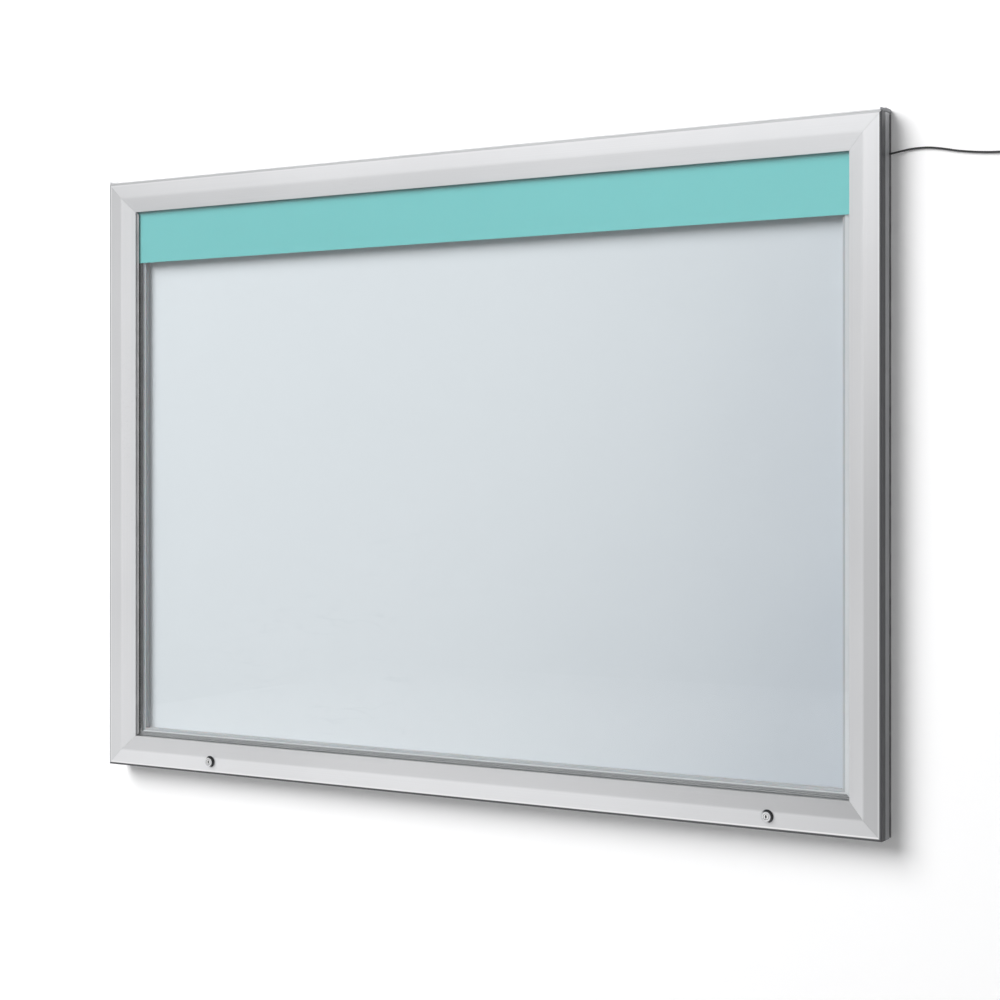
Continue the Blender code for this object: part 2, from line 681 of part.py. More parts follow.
def lock(side, x, inward, rail):
    """A cam lock through the bottom door rail; the cam hangs down when it is open."""
    place = (x, -CASE_DEPTH, LOCK_INSET - HALF_HEIGHT)
    lie = (90, 0, 0)
    bore = LOCK_PLUG_RADIUS + LOCK_RUNNING_GAP
    nut_top = -DOOR_DEPTH - TOUCH_GAP
    body_end = nut_top - LOCK_NUT_THICKNESS
    head = LOCK_HEAD_HEIGHT
    body = [
        (LOCK_HEAD_RADIUS - LOCK_HEAD_EDGE, head), (LOCK_HEAD_RADIUS, head - LOCK_HEAD_EDGE),
        (LOCK_HEAD_RADIUS, TOUCH_GAP), (LOCK_BARREL_RADIUS, TOUCH_GAP),
        (LOCK_BARREL_RADIUS, nut_top), (LOCK_NUT_RADIUS, nut_top),
        (LOCK_NUT_RADIUS, body_end), (bore, body_end), (bore, head),
    ]
    turned("lock_body_" + side, body, True, "lock_chrome", place, lie)
    hole = cylinder("lock_hole_cutter", LOCK_BARREL_RADIUS + TOUCH_GAP,
                    DOOR_DEPTH + 2 * CUT_OVERRUN,
                    (x, DOOR_DEPTH / 2 - CASE_DEPTH, place[2]), lie)
    boolean(rail, hole, "DIFFERENCE")

    cam_front = body_end - KEEPER_CAM_GAP
    cam_back = cam_front - CAM_THICKNESS
    stem_end = cam_back - TOUCH_GAP
    plug = [
        (0, head - LOCK_PLUG_RECESS), (LOCK_PLUG_RADIUS, head - LOCK_PLUG_RECESS),
        (LOCK_PLUG_RADIUS, cam_front + TOUCH_GAP), (LOCK_STEM_RADIUS, cam_front + TOUCH_GAP),
        (LOCK_STEM_RADIUS, stem_end), (LOCK_END_RADIUS, stem_end),
        (LOCK_END_RADIUS, stem_end - LOCK_END_THICKNESS), (0, stem_end - LOCK_END_THICKNESS),
    ]
    barrel = turned("lock_plug_" + side, plug, False, "lock_chrome", place, lie)
    keyway_low = (x - KEYWAY_WIDTH / 2, LOCK_PLUG_RECESS - head - CUT_OVERRUN,
                  place[2] - KEYWAY_HEIGHT / 2)
    keyway_high = (x + KEYWAY_WIDTH / 2, KEYWAY_DEPTH - head, place[2] + KEYWAY_HEIGHT / 2)
    boolean(barrel, box("keyway_cutter", keyway_low, keyway_high, None), "DIFFERENCE")

    half = CAM_WIDTH / 2
    meet = math.degrees(math.acos(half / CAM_BOSS_RADIUS))
    outline = arc((0, 0), CAM_BOSS_RADIUS, -meet, 180 + meet)
    outline += [
        (-half, CAM_TIP_EDGE - CAM_LENGTH), (CAM_TIP_EDGE - half, -CAM_LENGTH),
        (half - CAM_TIP_EDGE, -CAM_LENGTH), (half, CAM_TIP_EDGE - CAM_LENGTH),
    ]
    eye = ring((0, 0), LOCK_STEM_RADIUS + TOUCH_GAP)
    cam_place = (x, -CASE_DEPTH - (cam_front + cam_back) / 2, place[2])
    extruded("lock_cam_" + side, [outline, eye], CAM_THICKNESS, "zinc_steel", cam_place, lie)

    lip = DOOR_DEPTH + KEEPER_FRONT_GAP
    thick = KEEPER_THICKNESS
    web = WEB_FRONT - TOUCH_GAP
    leg = KEEPER_LEG_OFFSET
    shape = [
        (KEEPER_LIP_START, lip), (leg + thick, lip), (leg + thick, web - thick),
        (leg + KEEPER_FOOT, web - thick), (leg + KEEPER_FOOT, web), (leg, web),
        (leg, lip + thick), (KEEPER_LIP_START, lip + thick),
    ]
    loop = [(inward * u, depth) for u, depth in shape]
    extruded("lock_keeper_" + side, [loop], KEEPER_HEIGHT, "zinc_steel", place)


def stay(side, sign):
    """An arm as long as its pivot's distance from the hinge, so its shoe runs straight."""
    angle = SIDES[side][0]
    edge = sign * HALF_WIDTH
    pivot_z = PIVOT_Z - STAY_ARM
    shoe_z = PIVOT_Z - 2 * STAY_ARM
    upright = (90, 0, 90)
    across = (0, 90, 0)
    half = STAY_BAR_WIDTH / 2

    bar_x = edge - sign * (BAR_OUTER + BAR_INNER) / 2
    hole = STAY_PIN_RADIUS + STAY_PIN_GAP
    outline = arc((0, 0), half, 0, 180) + arc((0, -STAY_ARM), half, 180, 360)
    eyes = [ring((0, 0), hole), ring((0, -STAY_ARM), hole)]
    extruded("stay_arm_" + side, [outline, *eyes], STAY_BAR_THICKNESS, "zinc_steel",
             (bar_x, HINGE_DEPTH - CASE_DEPTH, pivot_z), upright)

    seat = DOOR_DEPTH + TOUCH_GAP
    ear = EAR_INSET + STAY_EAR_THICKNESS
    back = seat + STAY_BRACKET_WALL
    reach = HINGE_DEPTH + STAY_EAR_REACH
    foot = ear + STAY_BRACKET_FOOT
    loop = [
        (EAR_INSET, seat), (foot, seat), (foot, back), (ear, back), (ear, reach),
        (EAR_INSET, reach),
    ]
    bracket = extruded("stay_bracket_" + side, [loop], 2 * STAY_BRACKET_HALF, "zinc_steel",
                       (edge, -CASE_DEPTH, pivot_z), (0, angle, 0))
    pin_start = BAR_OUTER - STAY_PIN_GAP
    pin_end = EAR_INSET + STAY_EAR_THICKNESS / 2
    boolean(bracket, stay_pin(sign, edge, pin_start, pin_end, pivot_z, across), "UNION")

    track_low = CASE_WALL + TOUCH_GAP
    track_top = track_low + TRACK_HEIGHT
    channel = SHOE_WIDTH / 2 + TOUCH_GAP
    outer = channel + TRACK_WALL
    loop = [
        (track_low, -outer), (track_top, -outer), (track_top, -channel),
        (track_low + TRACK_BACK, -channel), (track_low + TRACK_BACK, channel),
        (track_top, channel), (track_top, outer), (track_low, outer),
    ]
    open_reach = 2 * STAY_ARM * math.cos(math.radians(DOOR_OPEN_ANGLE))
    high = PIVOT_Z - open_reach + SHOE_HALF_LENGTH + TRACK_END_MARGIN
    low = shoe_z - SHOE_HALF_LENGTH - TRACK_END_MARGIN
    extruded("stay_track_" + side, [loop], high - low, "zinc_steel",
             (edge, HINGE_DEPTH - CASE_DEPTH, (high + low) / 2), (0, angle, 0))

    shoe_low = track_low + TRACK_BACK + TOUCH_GAP
    shoe_top = shoe_low + SHOE_HEIGHT
    ends = sorted([edge - sign * shoe_low, edge - sign * shoe_top])
    shoe = box("stay_shoe_" + side,
               (ends[0], HINGE_DEPTH - SHOE_WIDTH / 2, shoe_z - SHOE_HALF_LENGTH),
               (ends[1], HINGE_DEPTH + SHOE_WIDTH / 2, shoe_z + SHOE_HALF_LENGTH), "nylon_black")
    pin_start = shoe_low + SHOE_HEIGHT / 2
    pin_end = BAR_INNER + STAY_PIN_GAP
    boolean(shoe, stay_pin(sign, edge, pin_start, pin_end, shoe_z, across), "UNION")


def stay_pin(sign, edge, start, end, z, turn):
    middle = edge - sign * (start + end) / 2
    return cylinder("stay_pin", STAY_PIN_RADIUS, end - start,
                    (middle, HINGE_DEPTH - CASE_DEPTH, z), turn)


def lead_entry(rail):
    """The grommet in the shadow step and the lead's inner length to the light board."""
    x = HALF_WIDTH
    y = LEAD_EXIT_DEPTH - CASE_DEPTH
    step_end = SHADOW_STEP + CASE_WALL
    hole = cylinder("grommet_hole_cutter", GROMMET_NECK_RADIUS + TOUCH_GAP,
                    CASE_WALL + CUT_OVERRUN,
                    (x - SHADOW_STEP - CASE_WALL / 2, y, LEAD_EXIT_Z), (0, 90, 0))
    boolean(rail, hole, "DIFFERENCE")
    outer = SHADOW_STEP - TOUCH_GAP
    inner = step_end + TOUCH_GAP
    profile = [
        (0, -outer + GROMMET_OUTER_FLANGE), (GROMMET_RADIUS, -outer + GROMMET_OUTER_FLANGE),
        (GROMMET_RADIUS, -outer), (GROMMET_NECK_RADIUS, -outer),
        (GROMMET_NECK_RADIUS, -inner), (GROMMET_RADIUS, -inner),
        (GROMMET_RADIUS, -inner - GROMMET_INNER_FLANGE), (0, -inner - GROMMET_INNER_FLANGE),
    ]
    turned("lead_grommet", profile, False, "nylon_black", (x, y, LEAD_EXIT_Z), (0, 90, 0))

    first = inner + GROMMET_INNER_FLANGE + TOUCH_GAP
    run = INNER_WALL_INSET - first - 2 * INNER_LEAD_END
    lead_hole = cylinder("inner_lead_cutter", INNER_LEAD_RADIUS + INNER_LEAD_CLEARANCE,
                         CASE_WALL + CUT_OVERRUN,
                         (x - INNER_WALL_INSET + CASE_WALL / 2, LIGHT_MIDDLE - CASE_DEPTH,
                          INNER_LEAD_Z), (0, 90, 0))
    boolean(rail, lead_hole, "DIFFERENCE")
    rise = LIGHT_MIDDLE - LEAD_EXIT_DEPTH
    drop = LEAD_EXIT_Z - INNER_LEAD_Z
    route = [(x - first, y, LEAD_EXIT_Z)]
    for i in range(INNER_LEAD_STEPS + 1):
        share = i / INNER_LEAD_STEPS
        ease = share * share * (3 - 2 * share)
        route.append((x - first - INNER_LEAD_END - run * share, y + rise * ease,
                      LEAD_EXIT_Z - drop * ease))
    route.append((x - INNER_WALL_INSET, y + rise, INNER_LEAD_Z))
    tube("inner_lead", route, INNER_LEAD_RADIUS, 2, "lead_black")


def coil_points():
    """Spiral in and out at a steady rate, climbing a layer where the spiral reverses."""
    turns = COIL_TURNS_PER_LAYER * COIL_LAYERS + COIL_LAST_TURN
    count = round(turns * COIL_POINTS_PER_TURN)
    points = [(COIL_X - 2 * LEAD_RADIUS, COIL_Y, COIL_Z + coil_radius(0))]
    for i in range(count + 1):
        turn = i / COIL_POINTS_PER_TURN
        angle = math.radians(90 - 360 * turn)
        radius = coil_radius(turn)
        points.append((COIL_X + radius * math.cos(angle), COIL_Y - COIL_PITCH * coil_layer(turn),
                       COIL_Z + radius * math.sin(angle)))
    end = points[-1]
    points.append((end[0], end[1], end[2] - TAIL_STRAIGHT / 2))
    points.append((end[0], end[1], end[2] - TAIL_STRAIGHT))
    for i in range(1, TAIL_STEPS + 1):
        share = i / TAIL_STEPS
        ease = share * share * (3 - 2 * share)
        points.append((end[0], end[1] + (TAIL_END_Y - end[1]) * ease,
                       end[2] - TAIL_STRAIGHT - TAIL_EASE * share))
    points.append((end[0], TAIL_END_Y, points[-1][2] - 2 * LEAD_RADIUS))
    return points


def coil_radius(turn):
    """Distance from the coil's middle: in, out, in and out again, one pitch a turn."""
    span = COIL_TURNS_PER_LAYER
    past_end = max(0, turn - span * COIL_LAYERS)
    outward = abs((turn - past_end) % (2 * span) - span) + past_end
    return COIL_INNER + COIL_PITCH * outward


def coil_layer(turn):
    """The layer that a turn lies on, eased over the half turn of each reversal."""
    layer = 0
    for climb in range(1, COIL_LAYERS):
        share = (turn - climb * COIL_TURNS_PER_LAYER) / COIL_CLIMB_TURNS + 0.5
        share = min(1, max(0, share))
        layer += share * share * (3 - 2 * share)
    return layer


def least_gap(points, radius):
    """Smallest gap between stretches of the tube that lie over half a turn apart."""
    places = [Vector(point) for point in points]
    apart = COIL_POINTS_PER_TURN // 2
    least = min((places[i] - places[j]).length
                for i in range(len(places)) for j in range(i + apart, len(places)))
    return least - 2 * radius


def spare_lead():
    run = smooth_route(LEAD_ROUTE, LEAD_STEP)
    tube("lead_run", run, LEAD_RADIUS, 2, "lead_black")
    coil = coil_points()
    tube("lead_coil", coil, LEAD_RADIUS, 1, "lead_black")
    print("lead: run %.4f m, coil %.4f m" % (path_length(run), path_length(coil)))
    print("coil's least gap to itself: %.2f mm" % (1000 * least_gap(coil, LEAD_RADIUS)))

    outer = coil_radius(TIE_TURN) + LEAD_RADIUS
    inner = coil_radius(COIL_TURNS_PER_LAYER - TIE_TURN) - LEAD_RADIUS
    back = COIL_Y + LEAD_RADIUS
    front = COIL_Y - COIL_PITCH * (COIL_LAYERS - 1) - LEAD_RADIUS
    loops = []
    for wall in (TIE_WALL, 0):
        near = back + TIE_LAYER_GAP + wall
        far = front - TIE_LAYER_GAP - wall
        low = -outer - TIE_RADIAL_GAP / 2 - wall
        high = TIE_RADIAL_GAP + wall - inner
        loops.append([(near, low), (near, high), (far, high), (far, low)])
    extruded("coil_tie", loops, TIE_WIDTH, "nylon_black", (COIL_X, 0, COIL_Z), (90, 0, 90))

    tab_back = front - HOOK_FRONT_GAP
    hook = [
        (0, -HOOK_BELOW), (0, HOOK_TOP), (tab_back, HOOK_TOP),
        (tab_back, HOOK_TOP + HOOK_TAB_REACH), (tab_back - HOOK_TAB, HOOK_TOP + HOOK_TAB_REACH),
        (tab_back - HOOK_TAB, HOOK_TOP - HOOK_ARM), (-HOOK_PLATE, HOOK_TOP - HOOK_ARM),
        (-HOOK_PLATE, -HOOK_BELOW),
    ]
    extruded("lead_hook", [hook], HOOK_WIDTH, "nylon_black", (COIL_X, 0, COIL_Z), (90, 0, 90))

    end = coil[-1]
    neck = PLUG_NECK_LENGTH
    body = neck + PLUG_BODY_LENGTH
    profile = [
        (0, 0), (PLUG_NECK_RADIUS, 0), (PLUG_SHOULDER_RADIUS, -neck + PLUG_BODY_EDGE),
        (PLUG_BODY_RADIUS, -neck), (PLUG_BODY_RADIUS, PLUG_BODY_EDGE - body),
        (PLUG_BODY_RADIUS - PLUG_BODY_EDGE, -body), (PLUG_BARREL_RADIUS, -body),
        (PLUG_BARREL_RADIUS, -body - PLUG_BARREL_LENGTH), (0, -body - PLUG_BARREL_LENGTH),
    ]
    turned("lead_connector", profile, False, "lead_black",
           (end[0], end[1], end[2] - TOUCH_GAP), (0, 0, 0))


def shade_round_pieces():
    for item in parts.objects:
        if item.type == "MESH":
            item.data.shade_smooth()
            item.data.set_sharp_from_angle(angle=math.radians(SMOOTH_ANGLE))


clear_scene()
parts = new_collection("notice_case")
cutters = new_collection("cutters")
cutters.hide_render = True
door = door_rails()
case = case_rails()
corner_pieces()
glazing_and_header()
back_and_seal()
lighting()
hinge()
lock("left", LOCK_LEFT_FROM_END - HALF_WIDTH, 1, door["bottom"])
lock("right", HALF_WIDTH - LOCK_RIGHT_FROM_END, -1, door["bottom"])
for stay_side, stay_sign in END_SIGNS.items():
    stay(stay_side, stay_sign)
lead_entry(case["right"])
spare_lead()
shade_round_pieces()
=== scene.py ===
"""Looks of the illuminated notice case: camera, studio, finer pieces and finishes."""
import math

import bmesh
import bpy
import numpy as np
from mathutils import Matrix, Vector
from mathutils.geometry import tessellate_polygon


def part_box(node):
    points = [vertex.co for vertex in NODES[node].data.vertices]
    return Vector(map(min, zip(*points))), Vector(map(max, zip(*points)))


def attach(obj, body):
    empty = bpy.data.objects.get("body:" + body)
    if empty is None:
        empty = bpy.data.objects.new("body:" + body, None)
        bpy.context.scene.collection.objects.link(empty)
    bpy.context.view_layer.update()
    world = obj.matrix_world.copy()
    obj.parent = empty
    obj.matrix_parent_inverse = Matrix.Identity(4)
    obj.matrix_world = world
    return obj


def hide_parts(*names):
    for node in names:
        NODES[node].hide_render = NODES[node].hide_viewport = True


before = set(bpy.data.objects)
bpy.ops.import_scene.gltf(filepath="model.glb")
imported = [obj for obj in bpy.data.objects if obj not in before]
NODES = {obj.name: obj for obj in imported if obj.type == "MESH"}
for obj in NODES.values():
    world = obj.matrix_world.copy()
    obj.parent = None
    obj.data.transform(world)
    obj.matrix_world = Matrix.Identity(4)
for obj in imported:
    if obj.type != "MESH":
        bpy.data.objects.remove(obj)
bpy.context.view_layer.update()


def span(name, axis):
    """Where a CAD piece starts and ends along an axis, in metres to the nearest micrometre."""
    return [round(float(corner["xyz".index(axis)]), 6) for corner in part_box(name)]


def centre_of(name, axis):
    """The middle of a CAD piece along an axis."""
    return sum(span(name, axis)) / 2


# Room, metres: the wall's face just behind the case, the floor, and how far both reach
WALL_Y = 0.0006
WALL_TOP = 4
FLOOR_Z = -1.4
ROOM_FRONT = -9
ROOM_REACH = 6

# Case and door, metres; depths run from the door's front face back to the wall
SIDES = ("top", "right", "bottom", "left")
HALF_WIDTH = span("door_rail_right", "x")[1]
HALF_HEIGHT = span("door_rail_top", "z")[1]
CASE_DEPTH = -span("door_rail_top", "y")[0]
DOOR_DEPTH = 0.0155
LEG_DEPTH = CASE_DEPTH + span("door_rail_top", "y")[1]
LIP_BACK = 0.0139
LIP_SETBACK = 0.0105
BAND_WIDTH = 0.028
LIP_INSET = HALF_WIDTH + span("door_rail_left", "x")[1]
REBATE_INSET = 0.0432
LEG_INSET = 0.0415
DOOR_WALL = 0.0016
WEB_FACE = 0.0384
# Locks: place across the case, and the sign of the way to its middle
LOCKS = {"left": (centre_of("lock_body_left", "x"), 1),
         "right": (centre_of("lock_body_right", "x"), -1)}
LOCK_Z = centre_of("lock_body_left", "z")
# Rivets of a stay: inset from the case's side, and height
STAY_PLACES = {"bracket": (0.0130, centre_of("stay_bracket_left", "z")),
               "shoe": (0.0105, centre_of("stay_shoe_left", "z"))}

# Ends of a rail: distance of each ring of points from the mitre, how far its edge is drawn in
# there, and where the rings lie on the rail's surface map, as shares of its length
MITRE_CUTS = np.array([0.00004, 0.00008, 0.0002, 0.0005])
MITRE_DRAW = np.array([0.00022, 0.00010, 0.00003, 0])
RAIL_MAP_SHARES = np.array([0, 0.0001, 0.0003, 0.0006, 1, 1.0003, 1.0005, 1.0006])

# Painted light and shade of each door rail, clockwise: the tone of its flat band and of its sloping
# face, at the rail's start and end; then how dark its outer corner is painted as shade, how bright
# the painted highlight line beside it, and how much darker the rail is painted halfway than a
# straight run of tone gives
RAIL_PAINTED_LIGHT = {
    "top": dict(band=(0.90, 1.12), slope=(0.91, 1.12), corner=0.3, painted_highlight=0.2, painted_sag=0.0),
    "right": dict(band=(1.05, 0.85), slope=(1.08, 1.22), corner=1.0, painted_highlight=0.3, painted_sag=0.20),
    "bottom": dict(band=(1.03, 1.01), slope=(0.73, 0.80), corner=1.0, painted_highlight=0.95, painted_sag=0.0),
    "left": dict(band=(0.90, 0.72), slope=(1.03, 1.0), corner=0.3, painted_highlight=0.3, painted_sag=0.0)}
# Inset at which the band's painted tone starts to turn into the slope's, and the run it takes; and
# the inset that the chamber's points are marked with
TONE_TURN, TONE_RUN = 0.0265, 0.0035
CHAMBER_MARK = 0.02

# Seal, glazing tape and wall gasket: inset and depth of each
SEAL_INSET, SEAL_WIDTH, SEAL_BASE, SEAL_CREST = 0.0535, 0.0092, 0.0215, 0.0197
TAPE_START, TAPE_END, TAPE_THICKNESS = 0.0512, 0.0531, 0.0003
GASKET_START, GASKET_END, GASKET_FRONT, GASKET_BACK = 0.0004, 0.0034, 0.0386, 0.0419

# Ends of the hinge: pivot as depth and height over the top edge, and the caps' lower edge
HINGE_PIVOT = (0.0205, 0.0016)
CAP_FLOOR = 0.0004
CAP_THICKNESS = HALF_WIDTH + span("hinge_cap_left", "x")[1]
# Rings of a flat piece, as shares of its thickness, and how far each is drawn in
PLATE_SHARES = np.array([0.0, 0.08, 0.92, 1.0])
PLATE_EASE = np.array([0.0003, 0.0, 0.0, 0.0003])

# Supply lead: its route along the wall, the coil of its spare length and the end that hangs down
LEAD_RADIUS = 0.0015
LEAD_ROUTE = [
    (0.7284, -0.0060, 0.4665), (0.7330, -0.0060, 0.4668), (0.7431, -0.0043, 0.4687),
    (0.7540, -0.0026, 0.4707), (0.7656, -0.0018, 0.4719), (0.7785, -0.0018, 0.4720),
    (0.7908, -0.0018, 0.4711), (0.8099, -0.0018, 0.4677), (0.8289, -0.0018, 0.4636),
    (0.8535, -0.0018, 0.4600), (0.8750, -0.0018, 0.4579), (0.8960, -0.0020, 0.4569),
    (0.9150, -0.0029, 0.4566), (0.9250, -0.0034, 0.4567),
]
COIL_X, COIL_Y, COIL_Z = 0.936, -0.0034, 0.4333
COIL_INNER = 0.0127
COIL_PITCH = 0.0035
TURNS_PER_LAYER = 3
COIL_LAYERS = 4
POINTS_PER_TURN = 24
TAIL_STRAIGHT = 0.016
TAIL_EASE = 0.030
TAIL_END_Y = -0.0053

# Colours that several finishes share
RUBBED_METAL = (0.66, 0.67, 0.68)
# Colour of the painted highlight line along the door rails' outer edges
PAINTED_HIGHLIGHT_COLOUR = (0.93, 0.93, 0.93)
DUST_ON_METAL = (0.55, 0.54, 0.52)
DUST_ON_RUBBER = (0.30, 0.29, 0.28)


# Nodes

def connect(tree, node, inputs):
    """Fill a node's sockets, found by name or number, each with a link or a value; a colour gets
    its fourth number here."""
    for key, value in inputs.items():
        socket = node.inputs[key]
        if isinstance(value, bpy.types.NodeSocket):
            tree.links.new(value, socket)
        elif socket.type == "RGBA":
            socket.default_value = (*value, 1)
        else:
            socket.default_value = value


def add(tree, kind, inputs=None, **settings):
    """A node with its settings and its filled sockets."""
    node = tree.nodes.new("ShaderNode" + kind)
    for key, value in settings.items():
        setattr(node, key, value)
    connect(tree, node, inputs or {})
    return node


def maths(tree, operation, first, second=0.0):
    """One step of arithmetic on one number or two."""
    return add(tree, "Math", {0: first, 1: second}, operation=operation).outputs[0]


def plus(tree, first, second):
    return maths(tree, "ADD", first, second)


def minus(tree, first, second):
    return maths(tree, "SUBTRACT", first, second)


def times(tree, first, second):
    return maths(tree, "MULTIPLY", first, second)


def ranged(tree, value, low, high, to_low=0.0, to_high=1.0):
    """A value from low to high carried smoothly onto the range from to_low to to_high."""
    return add(tree, "MapRange", {"Value": value, "From Min": low, "From Max": high,
                                  "To Min": to_low, "To Max": to_high},
               interpolation_type="SMOOTHSTEP").outputs["Result"]


def varied(tree, pattern, low, high):
    """A noise, most of which lies between 0.3 and 0.7, carried onto the range low to high."""
    return ranged(tree, pattern, 0.3, 0.7, low, high)


def blended(tree, share, first, second):
    """The first colour, and the second where share is 1."""
    return add(tree, "Mix", {0: share, 6: first, 7: second}, data_type="RGBA").outputs[2]


def shaded(colour, share):
    """A colour times a share."""
    return tuple(share * value for value in colour)


def coordinate(tree, place, axis):
    """One of the three numbers of a place."""
    return add(tree, "SeparateXYZ", {0: place}).outputs[axis]


def reach_along(tree, place, direction):
    """How far a place lies along a direction."""
    return add(tree, "VectorMath", {0: place, 1: direction},
               operation="DOT_PRODUCT").outputs["Value"]


def noise(tree, place, scale, detail, roughness=0.5):
    """A soft noise with about scale clouds to the metre."""
    return add(tree, "TexNoise", {"Vector": place, "Scale": scale, "Detail": detail,
                                  "Roughness": roughness}).outputs["Fac"]


def mark_of(tree, mark):
    """A number that the piece carries at each of its points."""
    return add(tree, "Attribute", attribute_name=mark).outputs["Fac"]


def place_of(tree, turned=False, surface_map=False):
    """Where a pattern lies: the piece's own map, or its place in the case, turned so that the
    first axis runs up an upright rail."""
    if surface_map:
        return add(tree, "UVMap", uv_map="surface_map").outputs[0]
    place = add(tree, "TexCoord").outputs["Object"]
    if turned:
        return add(tree, "Mapping", {0: place, "Rotation": (0, math.radians(90), 0)}).outputs[0]
    return place


def spaced(values):
    """The values by the names of their sockets."""
    return {key.replace("_", " "): value for key, value in values.items()}


def new_finish(name, **fixed):
    """The nodes of a new material with one Principled shader, and the place in the case that its
    patterns lie in; fixed numbers go onto the shader's own sockets."""
    material = bpy.data.materials.new(name)
    material.use_nodes = True
    tree = material.node_tree
    connect(tree, tree.nodes["Principled BSDF"], spaced(fixed))
    return tree, place_of(tree)


def dress(tree, colour, roughness, height, strength, distance):
    """Feed the colour, the roughness and the relief to the material's shader."""
    relief = add(tree, "Bump", {"Height": height, "Strength": strength, "Distance": distance})
    connect(tree, tree.nodes["Principled BSDF"],
            {"Base Color": colour, "Roughness": roughness, "Normal": relief.outputs[0]})


def let_through(tree, share, tint):
    """Where share is 1, light passes straight through with a tint, past the shader."""
    clear = add(tree, "BsdfTransparent", {"Color": tint})
    choose = add(tree, "MixShader", {0: share, 1: tree.nodes["Principled BSDF"].outputs[0],
                                     2: clear.outputs[0]})
    connect(tree, tree.nodes["Material Output"], {"Surface": choose.outputs[0]})


# Camera, room and light

def new_object(name, data):
    """An object at the origin, in the scene."""
    thing = bpy.data.objects.new(name, data)
    bpy.context.scene.collection.objects.link(thing)
    return thing


def set_camera():
    """The photograph's place: right of the case, level, the lens shifted a little down."""
    data = bpy.data.cameras.new("viewing_camera")
    data.lens = 70.66
    data.sensor_width = 36
    data.shift_y = -0.03372
    data.clip_end = 60
    camera = new_object("viewing_camera", data)
    camera.location = (1.6968, -2.7386, 0.0139)
    camera.rotation_euler = (math.radians(90), 0, math.radians(30.729))
    bpy.context.scene.camera = camera
    bpy.context.scene.view_settings.view_transform = "Standard"


def seen_share(tree):
    """Light Path's outputs; a share that is 1 for camera and glass rays; and one that is 1 for
    mirror rays too, and 0 for the light that is passed on."""
    path = add(tree, "LightPath").outputs
    direct = maths(tree, "MAXIMUM", path["Is Camera Ray"], path["Is Transmission Ray"])
    return path, direct, maths(tree, "MAXIMUM", direct, path["Is Glossy Ray"])


def set_world():
    """White where it is looked at; metal sees a soft front that dims to the sides; dim as light."""
    world = bpy.data.worlds.new("studio_room")
    bpy.context.scene.world = world
    world.use_nodes = True
    tree = world.node_tree
    tree.nodes.clear()
    path, direct, _ = seen_share(tree)
    front = Vector((-0.10, -0.93, -0.35)).normalized()
    facing = reach_along(tree, add(tree, "TexCoord").outputs["Generated"], front)
    soft = ranged(tree, facing, 0.10, 0.97, 0.44, 1.10)
    mirrored = add(tree, "Mix", {0: path["Is Glossy Ray"], 2: 0.28, 3: soft}).outputs[0]
    level = add(tree, "Mix", {0: direct, 2: mirrored, 3: 1.0}).outputs[0]
    sky = add(tree, "Background", {"Strength": level})
    add(tree, "OutputWorld", {"Surface": sky.outputs[0]})


def room_finish(name, colour, lift, passed_on):
    """A pale matt surface: its shadow shows, what is lit fully comes out white, and it is
    clear from behind. It passes on only a part of its light to the case."""
    tree, here = new_finish(name, Roughness=0.9, Specular_IOR_Level=0.1,
                            Emission_Color=(1, 1, 1))
    seen = seen_share(tree)[2]
    grain = noise(tree, here, 160, 2.0)
    relief = add(tree, "Bump", {"Height": grain, "Strength": 0.03})
    connect(tree, tree.nodes["Principled BSDF"],
            {"Base Color": blended(tree, seen, (passed_on, passed_on, passed_on), colour),
             "Normal": relief.outputs[0], "Emission Strength": times(tree, seen, lift)})
    let_through(tree, add(tree, "NewGeometry").outputs["Backfacing"], (1, 1, 1))


def room_plane(name, corners, finish):
    """One flat side of the room."""
    mesh = bpy.data.meshes.new(name)
    mesh.from_pydata(corners, [], [(0, 1, 2, 3)])
    mesh.materials.append(bpy.data.materials[finish])
    plane = new_object(name, mesh)
    return plane


def set_room():
    """A white wall that takes the case's shadow, and a floor a little darker."""
    room_finish("wall_paint", (0.96, 0.96, 0.965), 0.09, 0.30)
    room_finish("floor_paint", (0.86, 0.86, 0.86), 0.12, 0.30)
    upright = oblong(-ROOM_REACH, ROOM_REACH, FLOOR_Z, WALL_TOP)
    level = oblong(-ROOM_REACH, ROOM_REACH, ROOM_FRONT, WALL_Y)
    wall = room_plane("studio_wall", [(x, WALL_Y, z) for x, z in upright], "wall_paint")
    wall.visible_diffuse = False
    wall.visible_shadow = False
    floor = room_plane("studio_floor", [(x, y, FLOOR_Z) for x, y in level], "floor_paint")
    floor.visible_glossy = False


def soft_lamp(name, place, size, watts):
    """A round lamp turned to the case's middle, which only lights and is never seen itself."""
    data = bpy.data.lights.new(name, "AREA")
    data.shape = "DISK"
    data.size = size
    data.energy = watts
    lamp = new_object(name, data)
    lamp.location = place
    lamp.rotation_euler = (Vector() - Vector(place)).to_track_quat("-Z", "Y").to_euler()
    lamp.visible_camera = False
    lamp.visible_glossy = False
    lamp.visible_transmission = False


def set_lamps():
    """The main lamp, high at the left in front, and a weak one behind the wall."""
    soft_lamp("key_lamp", (-4.0, -6.6, 5.2), 7.6, 1150)
    soft_lamp("back_lamp", (0.0, 4.0, 0.7), 2.5, 90)


# Surfaces

def oblong(start, end, low, high):
    """The corners of an oblong that spans start to end and low to high."""
    return [(start, low), (end, low), (end, high), (start, high)]


